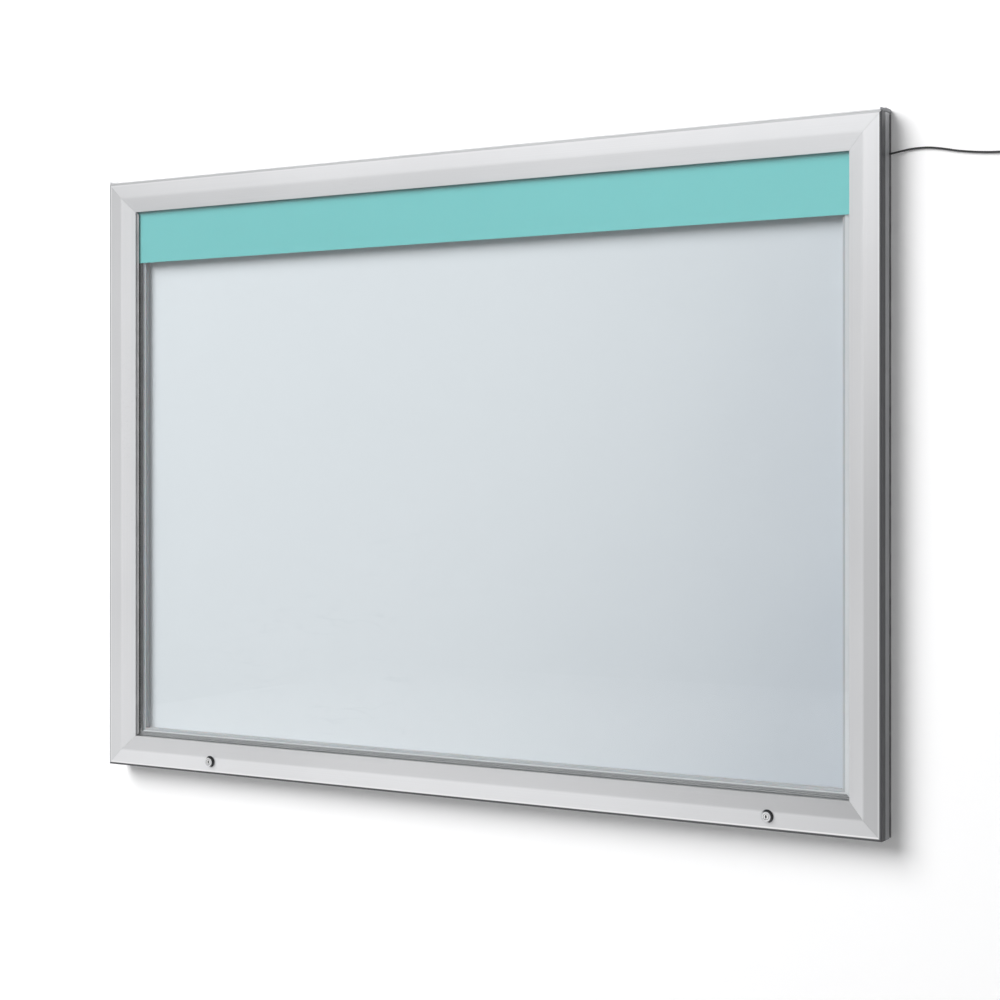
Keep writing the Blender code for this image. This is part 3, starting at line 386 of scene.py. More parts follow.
def rounded(outline, radii, steps=4):
    """The closed outline with each corner turned on a quarter of a smooth curve: corner i is
    replaced by points (1-t)^2 a + 2t(1-t) c + t^2 b between a and b, radii[i] away from it."""
    corners = np.array(outline, float)
    radii = np.broadcast_to(np.asarray(radii, float), len(corners))[:, None]
    before = np.roll(corners, 1, 0) - corners
    after = np.roll(corners, -1, 0) - corners
    near = [np.linalg.norm(way, axis=1, keepdims=True) for way in (before, after)]
    a = corners + before / near[0] * np.minimum(radii, near[0] * 0.45)
    b = corners + after / near[1] * np.minimum(radii, near[1] * 0.45)
    t = np.linspace(0, 1, steps)[None, :, None]
    curve = (1 - t) ** 2 * a[:, None] + 2 * t * (1 - t) * corners[:, None] + t ** 2 * b[:, None]
    return curve.reshape(-1, 2)


def arc(centre, radius, start, end, count):
    """Points on a circle from one angle to another, in degrees."""
    turn = np.radians(np.linspace(start, end, count))
    return centre + radius * np.stack([np.cos(turn), np.sin(turn)], 1)


def eased(share):
    """The smooth step 3 s^2 - 2 s^3 of a share s."""
    return share * share * (3 - 2 * share)


def unit(ways):
    """Each row of an array brought to the length 1."""
    return ways / np.maximum(np.linalg.norm(ways, axis=1, keepdims=True), 1e-9)


def lengths_along(line):
    """Distance from the first point to each point of a line."""
    steps = np.linalg.norm(np.diff(line, axis=0), axis=1)
    return np.concatenate([[0], np.cumsum(steps)])


def grid_faces(rows, columns, wrap_rows=False):
    """Quads of a grid that is closed round its columns, as vertex numbers and, corner by corner,
    as row and column numbers."""
    r, c = np.meshgrid(np.arange(rows if wrap_rows else rows - 1), np.arange(columns),
                       indexing="ij")
    r, c = r.ravel(), c.ravel()
    row = np.stack([r, r + 1, r + 1, r], 1)
    column = np.stack([c, c, c + 1, c + 1], 1)
    return (row % rows) * columns + column % columns, row, column


def flat_map(first, second):
    """A surface map from its two numbers at each corner of each face."""
    return np.stack([first, second], -1).reshape(-1, 2)


def cap_faces(*loops):
    """Triangles that fill the flat area between closed outlines."""
    return np.array(tessellate_polygon([[Vector((*point, 0)) for point in loop]
                                        for loop in loops]))


def new_piece(name, points, faces, corner_map, finish, body, marks=None, smooth=32):
    """One closed piece with its own surface map in metres, faces outward, seams merged."""
    mesh = bpy.data.meshes.new(name)
    mesh.from_pydata(np.asarray(points).tolist(), [], [list(map(int, face)) for face in faces])
    uv = mesh.uv_layers.new(name="surface_map")
    uv.data.foreach_set("uv", np.asarray(corner_map, np.float32).ravel())
    for mark, values in (marks or {}).items():
        layer = mesh.attributes.new(mark, "FLOAT", "POINT")
        layer.data.foreach_set("value", np.asarray(values, np.float32).ravel())
    work = bmesh.new()
    work.from_mesh(mesh)
    bmesh.ops.remove_doubles(work, verts=work.verts, dist=1e-7)
    bmesh.ops.recalc_face_normals(work, faces=work.faces)
    work.to_mesh(mesh)
    work.free()
    mesh.materials.append(bpy.data.materials[finish])
    mesh.shade_smooth()
    mesh.set_sharp_from_angle(angle=math.radians(smooth))
    piece = new_object(name, mesh)
    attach(piece, body)
    return piece


def surface_piece(name, grid, finish, body, wrap_rows=False, **more):
    """A piece from one grid of points, rows along it and columns round it."""
    rows, columns, _ = grid.shape
    faces, row, column = grid_faces(rows, columns, wrap_rows)
    middle = columns // 2
    along = lengths_along(np.concatenate([grid[:, middle], grid[:1, middle]]))
    ring = grid[rows // 2]
    round_it = lengths_along(np.concatenate([ring, ring[:1]]))
    return new_piece(name, grid.reshape(-1, 3), faces, flat_map(along[row], round_it[column]),
                     finish, body, **more)


def side_reach(side):
    """Half the length of one side of the frame, and its distance from the middle."""
    if side in ("top", "bottom"):
        return HALF_WIDTH, HALF_HEIGHT
    return HALF_HEIGHT, HALF_WIDTH


def side_points(side, cut, inset, depth):
    """Points of one side of the frame, clockwise from the front. cut is the distance from the
    mitre at the side's start, or from its end where it is negative."""
    half_long, across = side_reach(side)
    along = np.where(cut >= 0, -(half_long - inset) + cut, (half_long - inset) + cut)
    out = across - inset
    y = depth - CASE_DEPTH
    x, z = {"top": (along, out), "right": (out, -along),
            "bottom": (-along, -out), "left": (-out, along)}[side]
    return np.stack(np.broadcast_arrays(x, y, z), -1)


def eased_in(outline, amount):
    """The closed outline drawn inwards by amount: each point moves along the mean normal of its
    two edges."""
    after = np.roll(outline, -1, 0) - outline
    before = outline - np.roll(outline, 1, 0)
    normal = unit(sum(unit(np.stack([way[:, 1], -way[:, 0]], 1)) for way in (before, after)))
    area = np.sum(outline[:, 0] * np.roll(outline[:, 1], -1)
                  - np.roll(outline[:, 0], -1) * outline[:, 1])
    return outline - normal * amount * np.sign(area)


def mitred_rail(side, outline, chamber, finish):
    """A door rail: the outline carried along one side and cut to 45 degrees at both ends, where
    its edge is eased by a fifth of a millimetre, round a chamber that runs through."""
    cuts = np.concatenate([MITRE_CUTS, -MITRE_CUTS[::-1]])
    draw = np.concatenate([MITRE_DRAW, MITRE_DRAW[::-1]])
    rings = np.stack([eased_in(outline, amount) for amount in draw])
    outer = side_points(side, cuts[:, None], rings[..., 0], rings[..., 1])
    inner = side_points(side, cuts[[0, -1]][:, None], chamber[None, :, 0], chamber[None, :, 1])
    rows, columns = outer.shape[:2]
    width = len(chamber)
    base = rows * columns
    along = RAIL_MAP_SHARES * 2 * side_reach(side)[0]
    ring = lengths_along(np.concatenate([outline, outline[:1]]))
    faces, row, column = grid_faces(rows, columns)
    lists = [*faces]
    maps = [flat_map(along[row], ring[column])]
    faces, row, column = grid_faces(2, width)
    lists += [*(faces + base)]
    maps.append(flat_map(row * 1.0, column * 0.01))
    for ring_row, inner_row in ((0, 0), (rows - 1, 1)):
        numbers = np.concatenate([ring_row * columns + np.arange(columns),
                                  base + inner_row * width + np.arange(width)])
        cap = numbers[cap_faces(outline, chamber)]
        lists += [*cap]
        maps.append(np.zeros((cap.size, 2)))
    # Marks of painted light and shade: the tone of band and slope along the rail, the dark outer
    # corner, the highlight line and the halfway darkening
    tones = RAIL_PAINTED_LIGHT[side]
    share = np.clip((outline[:, 0] - TONE_TURN) / TONE_RUN, 0, 1)
    first, last = (band * (1 - share) + slope * share
                   for band, slope in zip(tones["band"], tones["slope"]))
    tone = np.concatenate([np.where(cuts[:, None] > 0, first, last).ravel(), np.ones(2 * width)])
    inset = np.concatenate([np.tile(outline[:, 0], rows), np.full(2 * width, CHAMBER_MARK)])
    marks = {mark: np.full(len(tone), tones[mark]) for mark in ("corner", "painted_highlight", "painted_sag")}
    piece = new_piece("door_frame_" + side, np.concatenate([outer.reshape(-1, 3),
                                                            inner.reshape(-1, 3)]),
                      lists, np.concatenate(maps), finish, "door",
                      marks={"from_edge": inset, "tone": tone, **marks})
    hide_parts("door_rail_" + side)


def frame_ring(name, outline, finish, body, widths=None, **more):
    """A ring of rubber, tape or foam: the closed outline (inset, depth) carried round the four
    sides and mitred at the corners. widths gives a side's share of the outline's width, taken
    from its outer edge."""
    outline = np.array(outline, float)
    cuts = np.array([0.0, 0.03, -0.03, -1e-9])
    start = outline[:, 0].min()
    rows = [side_points(side, cuts[:, None],
                        start + (outline[None, :, 0] - start) * (widths or {}).get(side, 1.0),
                        outline[None, :, 1]) for side in SIDES]
    return surface_piece(name, np.concatenate(rows), finish, body, wrap_rows=True, **more)


def turned(radius, angle, height, axis):
    """Points at a radius and an angle round an axis: r cos a and r sin a across it, and the
    height along it."""
    up = Vector(axis).normalized()
    side = up.orthogonal().normalized()
    reaches = (radius * np.cos(angle), radius * np.sin(angle), height)
    return sum(reach[..., None] * np.array(way)
               for reach, way in zip(reaches, (side, up.cross(side), up)))


def turned_grid(profile, centre, axis, sides=48, radius_of=None):
    """Points of a turned shape: profile (radius, height) swept round the axis through centre.
    radius_of(radius, angle) may give it flats."""
    profile = np.array(profile, float)
    angle = np.linspace(0, 2 * math.pi, sides, endpoint=False)
    radius = np.repeat(profile[:, :1], sides, 1)
    if radius_of:
        radius = radius_of(radius, angle[None, :])
    return turned(radius, angle, profile[:, 1:], axis) + np.array(centre)


def turned_piece(name, profile, centre, axis, finish, body, closed=False, sides=48,
                 radius_of=None, **more):
    """A piece turned from a profile; a closed profile is one ring, an open one starts and ends on
    the axis."""
    grid = turned_grid(profile, centre, axis, sides, radius_of)
    return surface_piece(name, grid, finish, body, wrap_rows=closed, **more)


def screw_heads(name, places, axis, radius, height, finish, body):
    """Pan heads with a cross recess, one small grid each: over radius r and angle a the height is
    h (1 - 0.45 r^2), less half of h in the recess, where |sin 2a| is small and r < 0.55."""
    share = np.array([0.0, 0.18, 0.30, 0.52, 0.60, 0.82, 1.0, 1.0])[:, None]
    angle = np.linspace(0, 2 * math.pi, 16, endpoint=False)[None, :]
    dome = 1 - 0.45 * share ** 2
    recess = (np.abs(np.sin(2 * angle)) < 0.1) & (share < 0.55)
    lift = np.where(recess, dome - 0.5, dome) * height
    lift[-1] = 0
    lift[0] = 0.45 * height
    head = turned(share * radius, angle, lift, axis)
    rows, columns = lift.shape
    count = len(places)
    points = (np.array(places, float)[:, None, None, :] + head[None]).reshape(-1, 3)
    faces, row, column = grid_faces(rows, columns)
    first = np.arange(count) * rows * columns
    floors = first[:, None] + (rows - 1) * columns + np.arange(columns)
    lists = [*(faces[None] + first[:, None, None]).reshape(-1, 4), *floors]
    one = flat_map(row * radius / rows, column * radius * 0.4)
    corner_map = np.concatenate([np.tile(one, (count, 1)), np.zeros((count * columns, 2))])
    piece = new_piece(name, points, lists, corner_map, finish, body, smooth=40)


# Lead

def smooth_line(knots, steps):
    """Points on a smooth curve through the knots: the cubic whose slope at a knot is half the
    way between its neighbours."""
    knots = np.array(knots, float)
    padded = np.concatenate([2 * knots[:1] - knots[1:2], knots, 2 * knots[-1:] - knots[-2:-1]])
    a, b, c, d = (padded[i:len(padded) - 3 + i, None] for i in range(4))
    t = np.linspace(0, 1, steps, endpoint=False)[None, :, None]
    curve = 0.5 * (2 * b + (c - a) * t + (2 * a - 5 * b + 4 * c - d) * t ** 2
                   + (3 * b - a - 3 * c + d) * t ** 3)
    return np.concatenate([curve.reshape(-1, 3), knots[-1:]])


def coil_line():
    """The spare length: r = inner + pitch * |(turn mod 6) - 3|, so it winds in and out again,
    and climbs one pitch to the next layer over the half turn where it reverses. Its end hangs
    down and eases forward to the plug."""
    turns = TURNS_PER_LAYER * COIL_LAYERS
    turn = np.arange(round((turns + 0.25) * POINTS_PER_TURN) + 1) / POINTS_PER_TURN
    past = np.maximum(0, turn - turns)
    radius = COIL_INNER + COIL_PITCH * (
        np.abs((turn - past) % (2 * TURNS_PER_LAYER) - TURNS_PER_LAYER) + past)
    starts = TURNS_PER_LAYER * np.arange(1, COIL_LAYERS)
    layer = np.sum(eased(np.clip((turn[:, None] - starts) / 0.5 + 0.5, 0, 1)), 1)
    angle = np.radians(90 - 360 * turn)
    ring = np.stack([COIL_X + radius * np.cos(angle), COIL_Y - COIL_PITCH * layer,
                     COIL_Z + radius * np.sin(angle)], 1)
    end = ring[-1]
    share = np.arange(1, 9) / 8
    down = np.concatenate([[-TAIL_STRAIGHT / 2, -TAIL_STRAIGHT],
                           -TAIL_STRAIGHT - TAIL_EASE * share,
                           [-TAIL_STRAIGHT - TAIL_EASE - 2 * LEAD_RADIUS]])
    forward = (TAIL_END_Y - end[1]) * np.concatenate([[0, 0], eased(share), [1]])
    tail = end + np.stack([0 * down, forward, down], 1)
    first = [COIL_X - 2 * LEAD_RADIUS, COIL_Y, ring[0, 2]]
    return np.concatenate([[first], ring, tail])


def tube_grid(line, radius, sides):
    """A round tube: at each point of the line, a ring in the plane across it. The ring starts
    from the wall's direction, which the line never follows."""
    way = unit(np.gradient(line, axis=0))
    wall = np.array([0.0, 1.0, 0.0])
    first = unit(wall - (way @ wall)[:, None] * way)
    second = np.cross(way, first)
    angle = np.linspace(0, 2 * math.pi, sides, endpoint=False)[None, :, None]
    tube = line[:, None] + radius * (np.cos(angle) * first[:, None]
                                     + np.sin(angle) * second[:, None])
    caps = [np.repeat(point[None, None], sides, 1) for point in (line[0], line[-1])]
    return np.concatenate([caps[0], tube, caps[1]])


def make_lead():
    """The supply lead from the case to its plug. The plug is turned: a ribbed neck that widens to
    a body with fine grip rings, and a sleeve that is open at its end."""
    line = np.concatenate([smooth_line(LEAD_ROUTE, 6), coil_line()])
    lead = surface_piece("supply_lead", tube_grid(line, LEAD_RADIUS, 14), "lead_sheath",
                         "case", smooth=60)
    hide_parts("lead_run", "lead_coil")
    low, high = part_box("lead_connector")
    middle = ((low[0] + high[0]) / 2, (low[1] + high[1]) / 2)
    top = high[2]
    end = low[2] - top
    neck_length, neck_radius, neck_growth, rib = 0.010, 0.0021, 0.0012, 0.00035
    body_radius, grip, shoulder, sleeve_radius = 0.0048, 0.00045, -0.0330, 0.00275
    bore_radius, bore_depth, chamfer = 0.0011, 0.007, 0.0003
    neck = np.linspace(0, neck_length, 11)
    ribs = np.stack([neck_radius + neck_growth * neck / neck_length
                     + rib * (np.arange(11) % 2), -neck], 1)
    body = [(0.0044, -0.0102), (body_radius, -0.0106), (body_radius, -0.0125)]
    steps = np.arange(8)
    grips = np.stack([body_radius - grip * (steps % 2), -0.0130 - 0.0009 * steps], 1)
    sleeve = [(body_radius, -0.0205), (body_radius, -0.0322), (0.0046, -0.0328),
              (0.0040, shoulder), (sleeve_radius, shoulder), (sleeve_radius, end + chamfer),
              (0.0025, end), (bore_radius, end), (bore_radius, end + bore_depth),
              (0, end + bore_depth)]
    plug = turned_piece("lead_plug", [(0, 0), *ribs, *body, *grips, *sleeve],
                        (middle[0], middle[1], top), (0, 0, 1), "plug_moulding", "case",
                        smooth=35)
    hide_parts("lead_connector")


# Effects that several finishes share

def node_group(name, inputs, *outputs):
    """A shared effect with named sockets: inputs gives each start value, and None is a place."""
    group = bpy.data.node_groups.new(name, "ShaderNodeTree")
    for label, value in inputs.items():
        kind = "NodeSocketVector" if value is None else "NodeSocketFloat"
        socket = group.interface.new_socket(label, in_out="INPUT", socket_type=kind)
        if value is not None:
            socket.default_value = value
    for label in outputs:
        group.interface.new_socket(label, in_out="OUTPUT", socket_type="NodeSocketFloat")
    source = group.nodes.new("NodeGroupInput")
    return group, source.outputs, group.nodes.new("NodeGroupOutput")


def make_drawn_lines():
    """Die lines of an extrusion: noise drawn out along the first axis."""
    group, source, sink = node_group(
        "drawn_lines", {"Place": None, "Lines per Metre": 900.0, "Breaks per Metre": 2.0}, "Line")
    scale = add(group, "CombineXYZ", {0: source[2], 1: source[1], 2: source[1]}).outputs[0]
    place = add(group, "VectorMath", {0: source[0], 1: scale}, operation="MULTIPLY").outputs[0]
    connect(group, sink, {0: noise(group, place, 1.0, 4.0, 0.6)})


def make_cloud_tone():
    """Broad soft change of tone over the surface, and one 14 times finer."""
    group, source, sink = node_group(
        "cloud_tone", {"Place": None, "Per Metre": 6.0}, "Tone", "Fine")
    finer = times(group, source[1], 14.0)
    connect(group, sink, {0: noise(group, source[0], source[1], 3.0, 0.5),
                          1: noise(group, source[0], finer, 5.0, 0.65)})


def make_handling_marks():
    """Faint rubs and hair scratches: thin contours of one noise, kept where another is high."""
    group, source, sink = node_group(
        "handling_marks", {"Place": None, "Per Metre": 40.0, "Amount": 0.5}, "Marks")
    drawn_out = add(group, "Mapping", {0: source[0], "Rotation": (0.4, 0.9, 0.6),
                                       "Scale": (1.0, 7.0, 5.0)}).outputs[0]
    contour = minus(group, noise(group, drawn_out, source[1], 2.0, 0.4), 0.5)
    hair = ranged(group, maths(group, "ABSOLUTE", contour), 0.0, 0.012, 1.0, 0.0)
    broad = noise(group, source[0], times(group, source[1], 0.12), 2.0)
    patch = ranged(group, broad, 0.52, 0.68)
    connect(group, sink, {0: times(group, times(group, hair, patch), source[2])})


def make_settled_dust():
    """Fine dust on what faces up, in soft patches."""
    group, source, sink = node_group("settled_dust", {"Place": None, "Amount": 0.3}, "Dust")
    normal = add(group, "NewGeometry").outputs["Normal"]
    faces_up = ranged(group, coordinate(group, normal, "Z"), 0.35, 0.95)
    soft = ranged(group, noise(group, source[0], 55.0, 6.0, 0.7), 0.3, 0.75, 0.25, 1.0)
    connect(group, sink, {0: times(group, times(group, faces_up, soft), source[1])})


def make_moulded_skin():
    """Eroded skin of a moulded part: fine pits as height, and a slight change of tone."""
    group, source, sink = node_group(
        "moulded_skin", {"Place": None, "Pits per Metre": 1400.0}, "Height", "Tone")
    pits = add(group, "TexVoronoi", {"Vector": source[0], "Scale": source[1]},
               feature="SMOOTH_F1").outputs["Distance"]
    tone = noise(group, source[0], times(group, source[1], 0.03), 4.0)
    connect(group, sink, {0: pits, 1: tone})


def make_effects():
    """Build each shared effect once; finishes find them by their names."""
    make_drawn_lines()
    make_cloud_tone()
    make_handling_marks()
    make_settled_dust()
    make_moulded_skin()


def effect(tree, name, place, **inputs):
    """The outputs of a shared effect that is placed in a material with its own values."""
    return add(tree, "Group", {"Place": place, **spaced(inputs)},
               node_tree=bpy.data.node_groups[name]).outputs


# Finishes

def door_rail_painted_light(tree, colour, here, painted_edge_shade):
    """A door rail's painted light and shade, by its marks: its tone, darker halfway along, a
    painted highlight line, and its outer corner painted dark as shade.
    """
    edge, tone, corner, painted_highlight, painted_sag = (
        mark_of(tree, mark) for mark in ("from_edge", "tone", "corner", "painted_highlight", "painted_sag"))
    # Painted shade: darker halfway along the rail, by its mark
    up = maths(tree, "DIVIDE", coordinate(tree, here, "Z"), HALF_HEIGHT)
    bow = minus(tree, 1.0, times(tree, up, up))
    tone = minus(tree, tone, times(tree, painted_sag, bow))
    colour = add(tree, "VectorMath", {0: colour, 1: tone}, operation="MULTIPLY").outputs[0]
    # Painted highlight: a bright line a little in from the outer corner
    line = times(tree, ranged(tree, edge, 0.0038, 0.0044),
                 ranged(tree, edge, 0.0056, 0.0068, 1.0, 0.0))
    colour = blended(tree, times(tree, line, painted_highlight), colour, PAINTED_HIGHLIGHT_COLOUR)
    # Painted shade: the outer corner darkened
    dark = times(tree, ranged(tree, edge, 0.0032, 0.0038, 1.0, 0.0), corner)
    return blended(tree, dark, colour, painted_edge_shade)


def case_inside_tone(tree, colour, here, line, inner_colour):
    """A case rail's lighter inside, past the step round its outline; the darker outer skin is
    painted shade.
    """
    sides = [minus(tree, reach, maths(tree, "ABSOLUTE", coordinate(tree, here, axis)))
             for reach, axis in ((HALF_WIDTH, "X"), (HALF_HEIGHT, "Z"))]
    inset = maths(tree, "MINIMUM", *sides)
    return blended(tree, ranged(tree, inset, 0.0045, 0.0070), colour,
                   blended(tree, line, shaded(inner_colour, 0.93), inner_colour))


def anodised(name, light, dark, roughness, metallic, turned=False, surface_map=False,
             painted_edge_shade=None, inner_colour=None):
    """Satin anodised extrusion: die lines along the rail, a cloudy tone, faint rubs and dust;
    painted shade darkens it towards the lower right.
    """
    tree, here = new_finish(name, Metallic=metallic)
    line = effect(tree, "drawn_lines", place_of(tree, turned, surface_map),
                  Lines_per_Metre=1400.0, Breaks_per_Metre=1.5)[0]
    cloud = effect(tree, "cloud_tone", here, Per_Metre=3.0)[0]
    marks = effect(tree, "handling_marks", here, Per_Metre=30.0, Amount=0.35)[0]
    dust = effect(tree, "settled_dust", here, Amount=0.22)[0]
    tone = plus(tree, times(tree, line, 0.5), times(tree, cloud, 0.5))
    colour = blended(tree, ranged(tree, tone, 0.32, 0.68), dark, light)
    # Painted shade: darker towards the lower right, where the lamp's light falls off
    across = reach_along(tree, here, (0.75, 0.0, -0.65))
    painted_shade_drift = ranged(tree, across, 0.40, 0.95, 0.0, 0.50)
    colour = blended(tree, painted_shade_drift, colour, shaded(dark, 0.62))
    if painted_edge_shade:
        colour = door_rail_painted_light(tree, colour, here, painted_edge_shade)
    if inner_colour:
        colour = case_inside_tone(tree, colour, here, line, inner_colour)
    colour = blended(tree, marks, colour, RUBBED_METAL)
    colour = blended(tree, dust, colour, DUST_ON_METAL)
    rough = plus(tree, varied(tree, line, roughness - 0.05, roughness + 0.05),
                 times(tree, plus(tree, marks, dust), 0.2))
    dress(tree, colour, rough, line, 0.25, 0.00006)


def zinc_plated():
    """Bright zinc on sheet steel: small crystals of tone, rubs, a warm passivation tint."""
    tree, here = new_finish("zinc_plated_steel", Metallic=1.0)
    cloud = effect(tree, "cloud_tone", here, Per_Metre=45.0)
    marks = effect(tree, "handling_marks", here, Per_Metre=90.0, Amount=0.6)[0]
    colour = blended(tree, cloud[0], (0.50, 0.51, 0.53), (0.70, 0.69, 0.66))
    colour = blended(tree, marks, colour, (0.80, 0.80, 0.80))
    dress(tree, colour, varied(tree, cloud[1], 0.26, 0.48), cloud[1], 0.2, 0.00005)


def painted_flank_shade(tree, here):
    """Painted shade on a lock head's sloping side, by its mark."""
    return ranged(tree, mark_of(tree, "flank_shade"), 0.3, 0.8)


def painted_key_slot(tree, here):
    """Painted shade of the key slot in the middle of either plug: a dark oval twice as high as it
    is wide.
    """
    off = [maths(tree, "ABSOLUTE", minus(tree, coordinate(tree, here, "X"), x))
           for x, _ in LOCKS.values()]
    up = times(tree, minus(tree, coordinate(tree, here, "Z"), LOCK_Z), 0.5)
    flat = add(tree, "CombineXYZ", {0: maths(tree, "MINIMUM", *off), 1: up}).outputs[0]
    away = add(tree, "VectorMath", {0: flat}, operation="LENGTH").outputs["Value"]
    return ranged(tree, away, 0.0010, 0.0016, 1.0, 0.0)


def bright_metal(name, dark, light, painted_dark_part, black):
    """Polished lock metal with a few key scratches, and a part of it painted nearly black as shade.
    """
    tree, here = new_finish(name, Metallic=1.0)
    cloud = effect(tree, "cloud_tone", here, Per_Metre=120.0)
    marks = effect(tree, "handling_marks", here, Per_Metre=260.0, Amount=0.7)[0]
    colour = blended(tree, cloud[0], dark, light)
    colour = blended(tree, painted_dark_part(tree, here), colour, black)
    rough = plus(tree, varied(tree, cloud[1], 0.10, 0.18), times(tree, marks, 0.25))
    dress(tree, colour, rough, marks, 0.15, 0.00003)


def clear_acrylic():
    """Glazing: clear, a trace of green in the thickness, faint smears; light passes straight
    through it to the panel behind."""
    tree, here = new_finish("clear_acrylic", Transmission_Weight=1.0, IOR=1.49, Metallic=0.0)
    cloud = effect(tree, "cloud_tone", here, Per_Metre=2.5)
    connect(tree, tree.nodes["Principled BSDF"],
            {"Base Color": blended(tree, cloud[0], (0.955, 0.975, 0.975), (0.975, 0.985, 0.99)),
             "Roughness": ranged(tree, cloud[1], 0.35, 0.7, 0.0, 0.006)})
    path = add(tree, "LightPath").outputs
    passing = maths(tree, "MAXIMUM", path["Is Shadow Ray"], path["Is Diffuse Ray"])
    let_through(tree, passing, (0.94, 0.955, 0.96))


def printed_film():
    """Header strip: matt teal film with a fine calendered grain and slight fade, and painted shade
    that darkens it towards the left against the lamp's stronger light there.
    """
    tree, here = new_finish("teal_film", Metallic=0.0, IOR=1.46)
    cloud = effect(tree, "cloud_tone", here, Per_Metre=5.0)
    skin = effect(tree, "moulded_skin", here, Pits_per_Metre=2600.0)
    # Painted shade: darker at the left to even out the lamp's stronger light there, with a little
    # cloudy tone
    painted_shade_drift = plus(tree, ranged(tree, coordinate(tree, here, "X"), -0.7, 0.7, 0.0, 0.9),
                 times(tree, cloud[0], 0.1))
    colour = blended(tree, painted_shade_drift, (0.153, 0.506, 0.497), (0.184, 0.588, 0.575))
    faded = ranged(tree, cloud[1], 0.45, 0.8, 0.0, 0.10)
    colour = blended(tree, faded, colour, (0.22, 0.56, 0.545))
    dress(tree, colour, varied(tree, skin[1], 0.42, 0.55), skin[0], 0.10, 0.00004)


def coated_panel():
    """Back panel: powder-coated magnetic sheet, cool white, orange-peel skin, faint wipe marks, and
    painted shade that greys it towards the lower right."""
    tree, here = new_finish("coated_panel_white", Metallic=0.0, IOR=1.5)
    cloud = effect(tree, "cloud_tone", here, Per_Metre=1.6)[0]
    skin = effect(tree, "moulded_skin", here, Pits_per_Metre=700.0)
    marks = effect(tree, "handling_marks", here, Per_Metre=9.0, Amount=0.25)[0]
    # Painted shade: greyer towards the lower right, where the lamp's light falls off
    painted_shade_drift = plus(tree, reach_along(tree, here, (0.80, 0.0, -0.35)),
                 times(tree, minus(tree, cloud, 0.5), 0.3))
    share = add(tree, "MapRange", {"Value": painted_shade_drift, "From Min": -0.06, "From Max": 0.74})
    painted_shade_share = maths(tree, "POWER", share.outputs["Result"], 1.9)
    colour = blended(tree, painted_shade_share, (0.714, 0.736, 0.760), (0.498, 0.528, 0.576))
    colour = blended(tree, marks, colour, (0.55, 0.58, 0.61))
    dress(tree, colour, varied(tree, skin[1], 0.34, 0.48), skin[0], 0.06, 0.00012)


def pressed_board():
    """Backing board: grey pressed fibre with pale and dark flecks."""
    tree, here = new_finish("pressed_fibre_board", Metallic=0.0)
    cloud = effect(tree, "cloud_tone", here, Per_Metre=60.0)
    flecks = add(tree, "TexVoronoi", {"Vector": here, "Scale": 420.0}, feature="F1")
    pale = ranged(tree, flecks.outputs["Distance"], 0.0, 0.35, 0.35, 0.0)
    colour = blended(tree, cloud[1], (0.30, 0.29, 0.28), (0.48, 0.47, 0.45))
    colour = blended(tree, pale, colour, (0.62, 0.60, 0.56))
    dress(tree, colour, varied(tree, cloud[0], 0.78, 0.92), cloud[1], 0.5, 0.0003)


def rubber(name, colour, bloom, roughness, painted_light_low=None):
    """Sealing rubber or foam with a grey bloom and a fine skin. Where a colour for its lowest run
    is
    given, that run is painted lighter: painted light."""
    tree, here = new_finish(name, Metallic=0.0, Specular_IOR_Level=0.35)
    skin = effect(tree, "moulded_skin", here, Pits_per_Metre=1800.0)
    dust = effect(tree, "settled_dust", here, Amount=0.35)[0]
    tone = blended(tree, ranged(tree, skin[1], 0.35, 0.7), colour, bloom)
    tone = blended(tree, dust, tone, DUST_ON_RUBBER)
    if painted_light_low:
        # Painted light: the lowest run is lighter
        low = ranged(tree, coordinate(tree, here, "Z"), -0.463, -0.457, 1.0, 0.0)
        tone = blended(tree, low, tone, painted_light_low)
    rough = varied(tree, skin[1], roughness, roughness + 0.15)
    dress(tree, tone, rough, skin[0], 0.12, 0.00006)


def opal():
    """Opal diffuser: milky, softly scattering, with fine ribs along it; painted mid grey as the
    shade of the reveal it sits in.
    """
    tree, here = new_finish("opal_diffuser_plastic", Metallic=0.0, IOR=1.49,
                            Subsurface_Weight=0.25, Subsurface_Scale=0.002)
    cloud = effect(tree, "cloud_tone", here, Per_Metre=20.0)
    dust = effect(tree, "settled_dust", here, Amount=0.55)[0]
    ribs = add(tree, "TexWave", {"Vector": here, "Scale": 350.0, "Distortion": 0.0},
               wave_type="BANDS", bands_direction="Y").outputs["Fac"]
    # Mid grey rather than milky white: painted shade of the reveal
    colour = blended(tree, cloud[0], (0.41, 0.42, 0.435), (0.47, 0.48, 0.495))
    colour = blended(tree, dust, colour, (0.27, 0.265, 0.255))
    dress(tree, colour, varied(tree, cloud[1], 0.34, 0.46), ribs, 0.15, 0.0001)


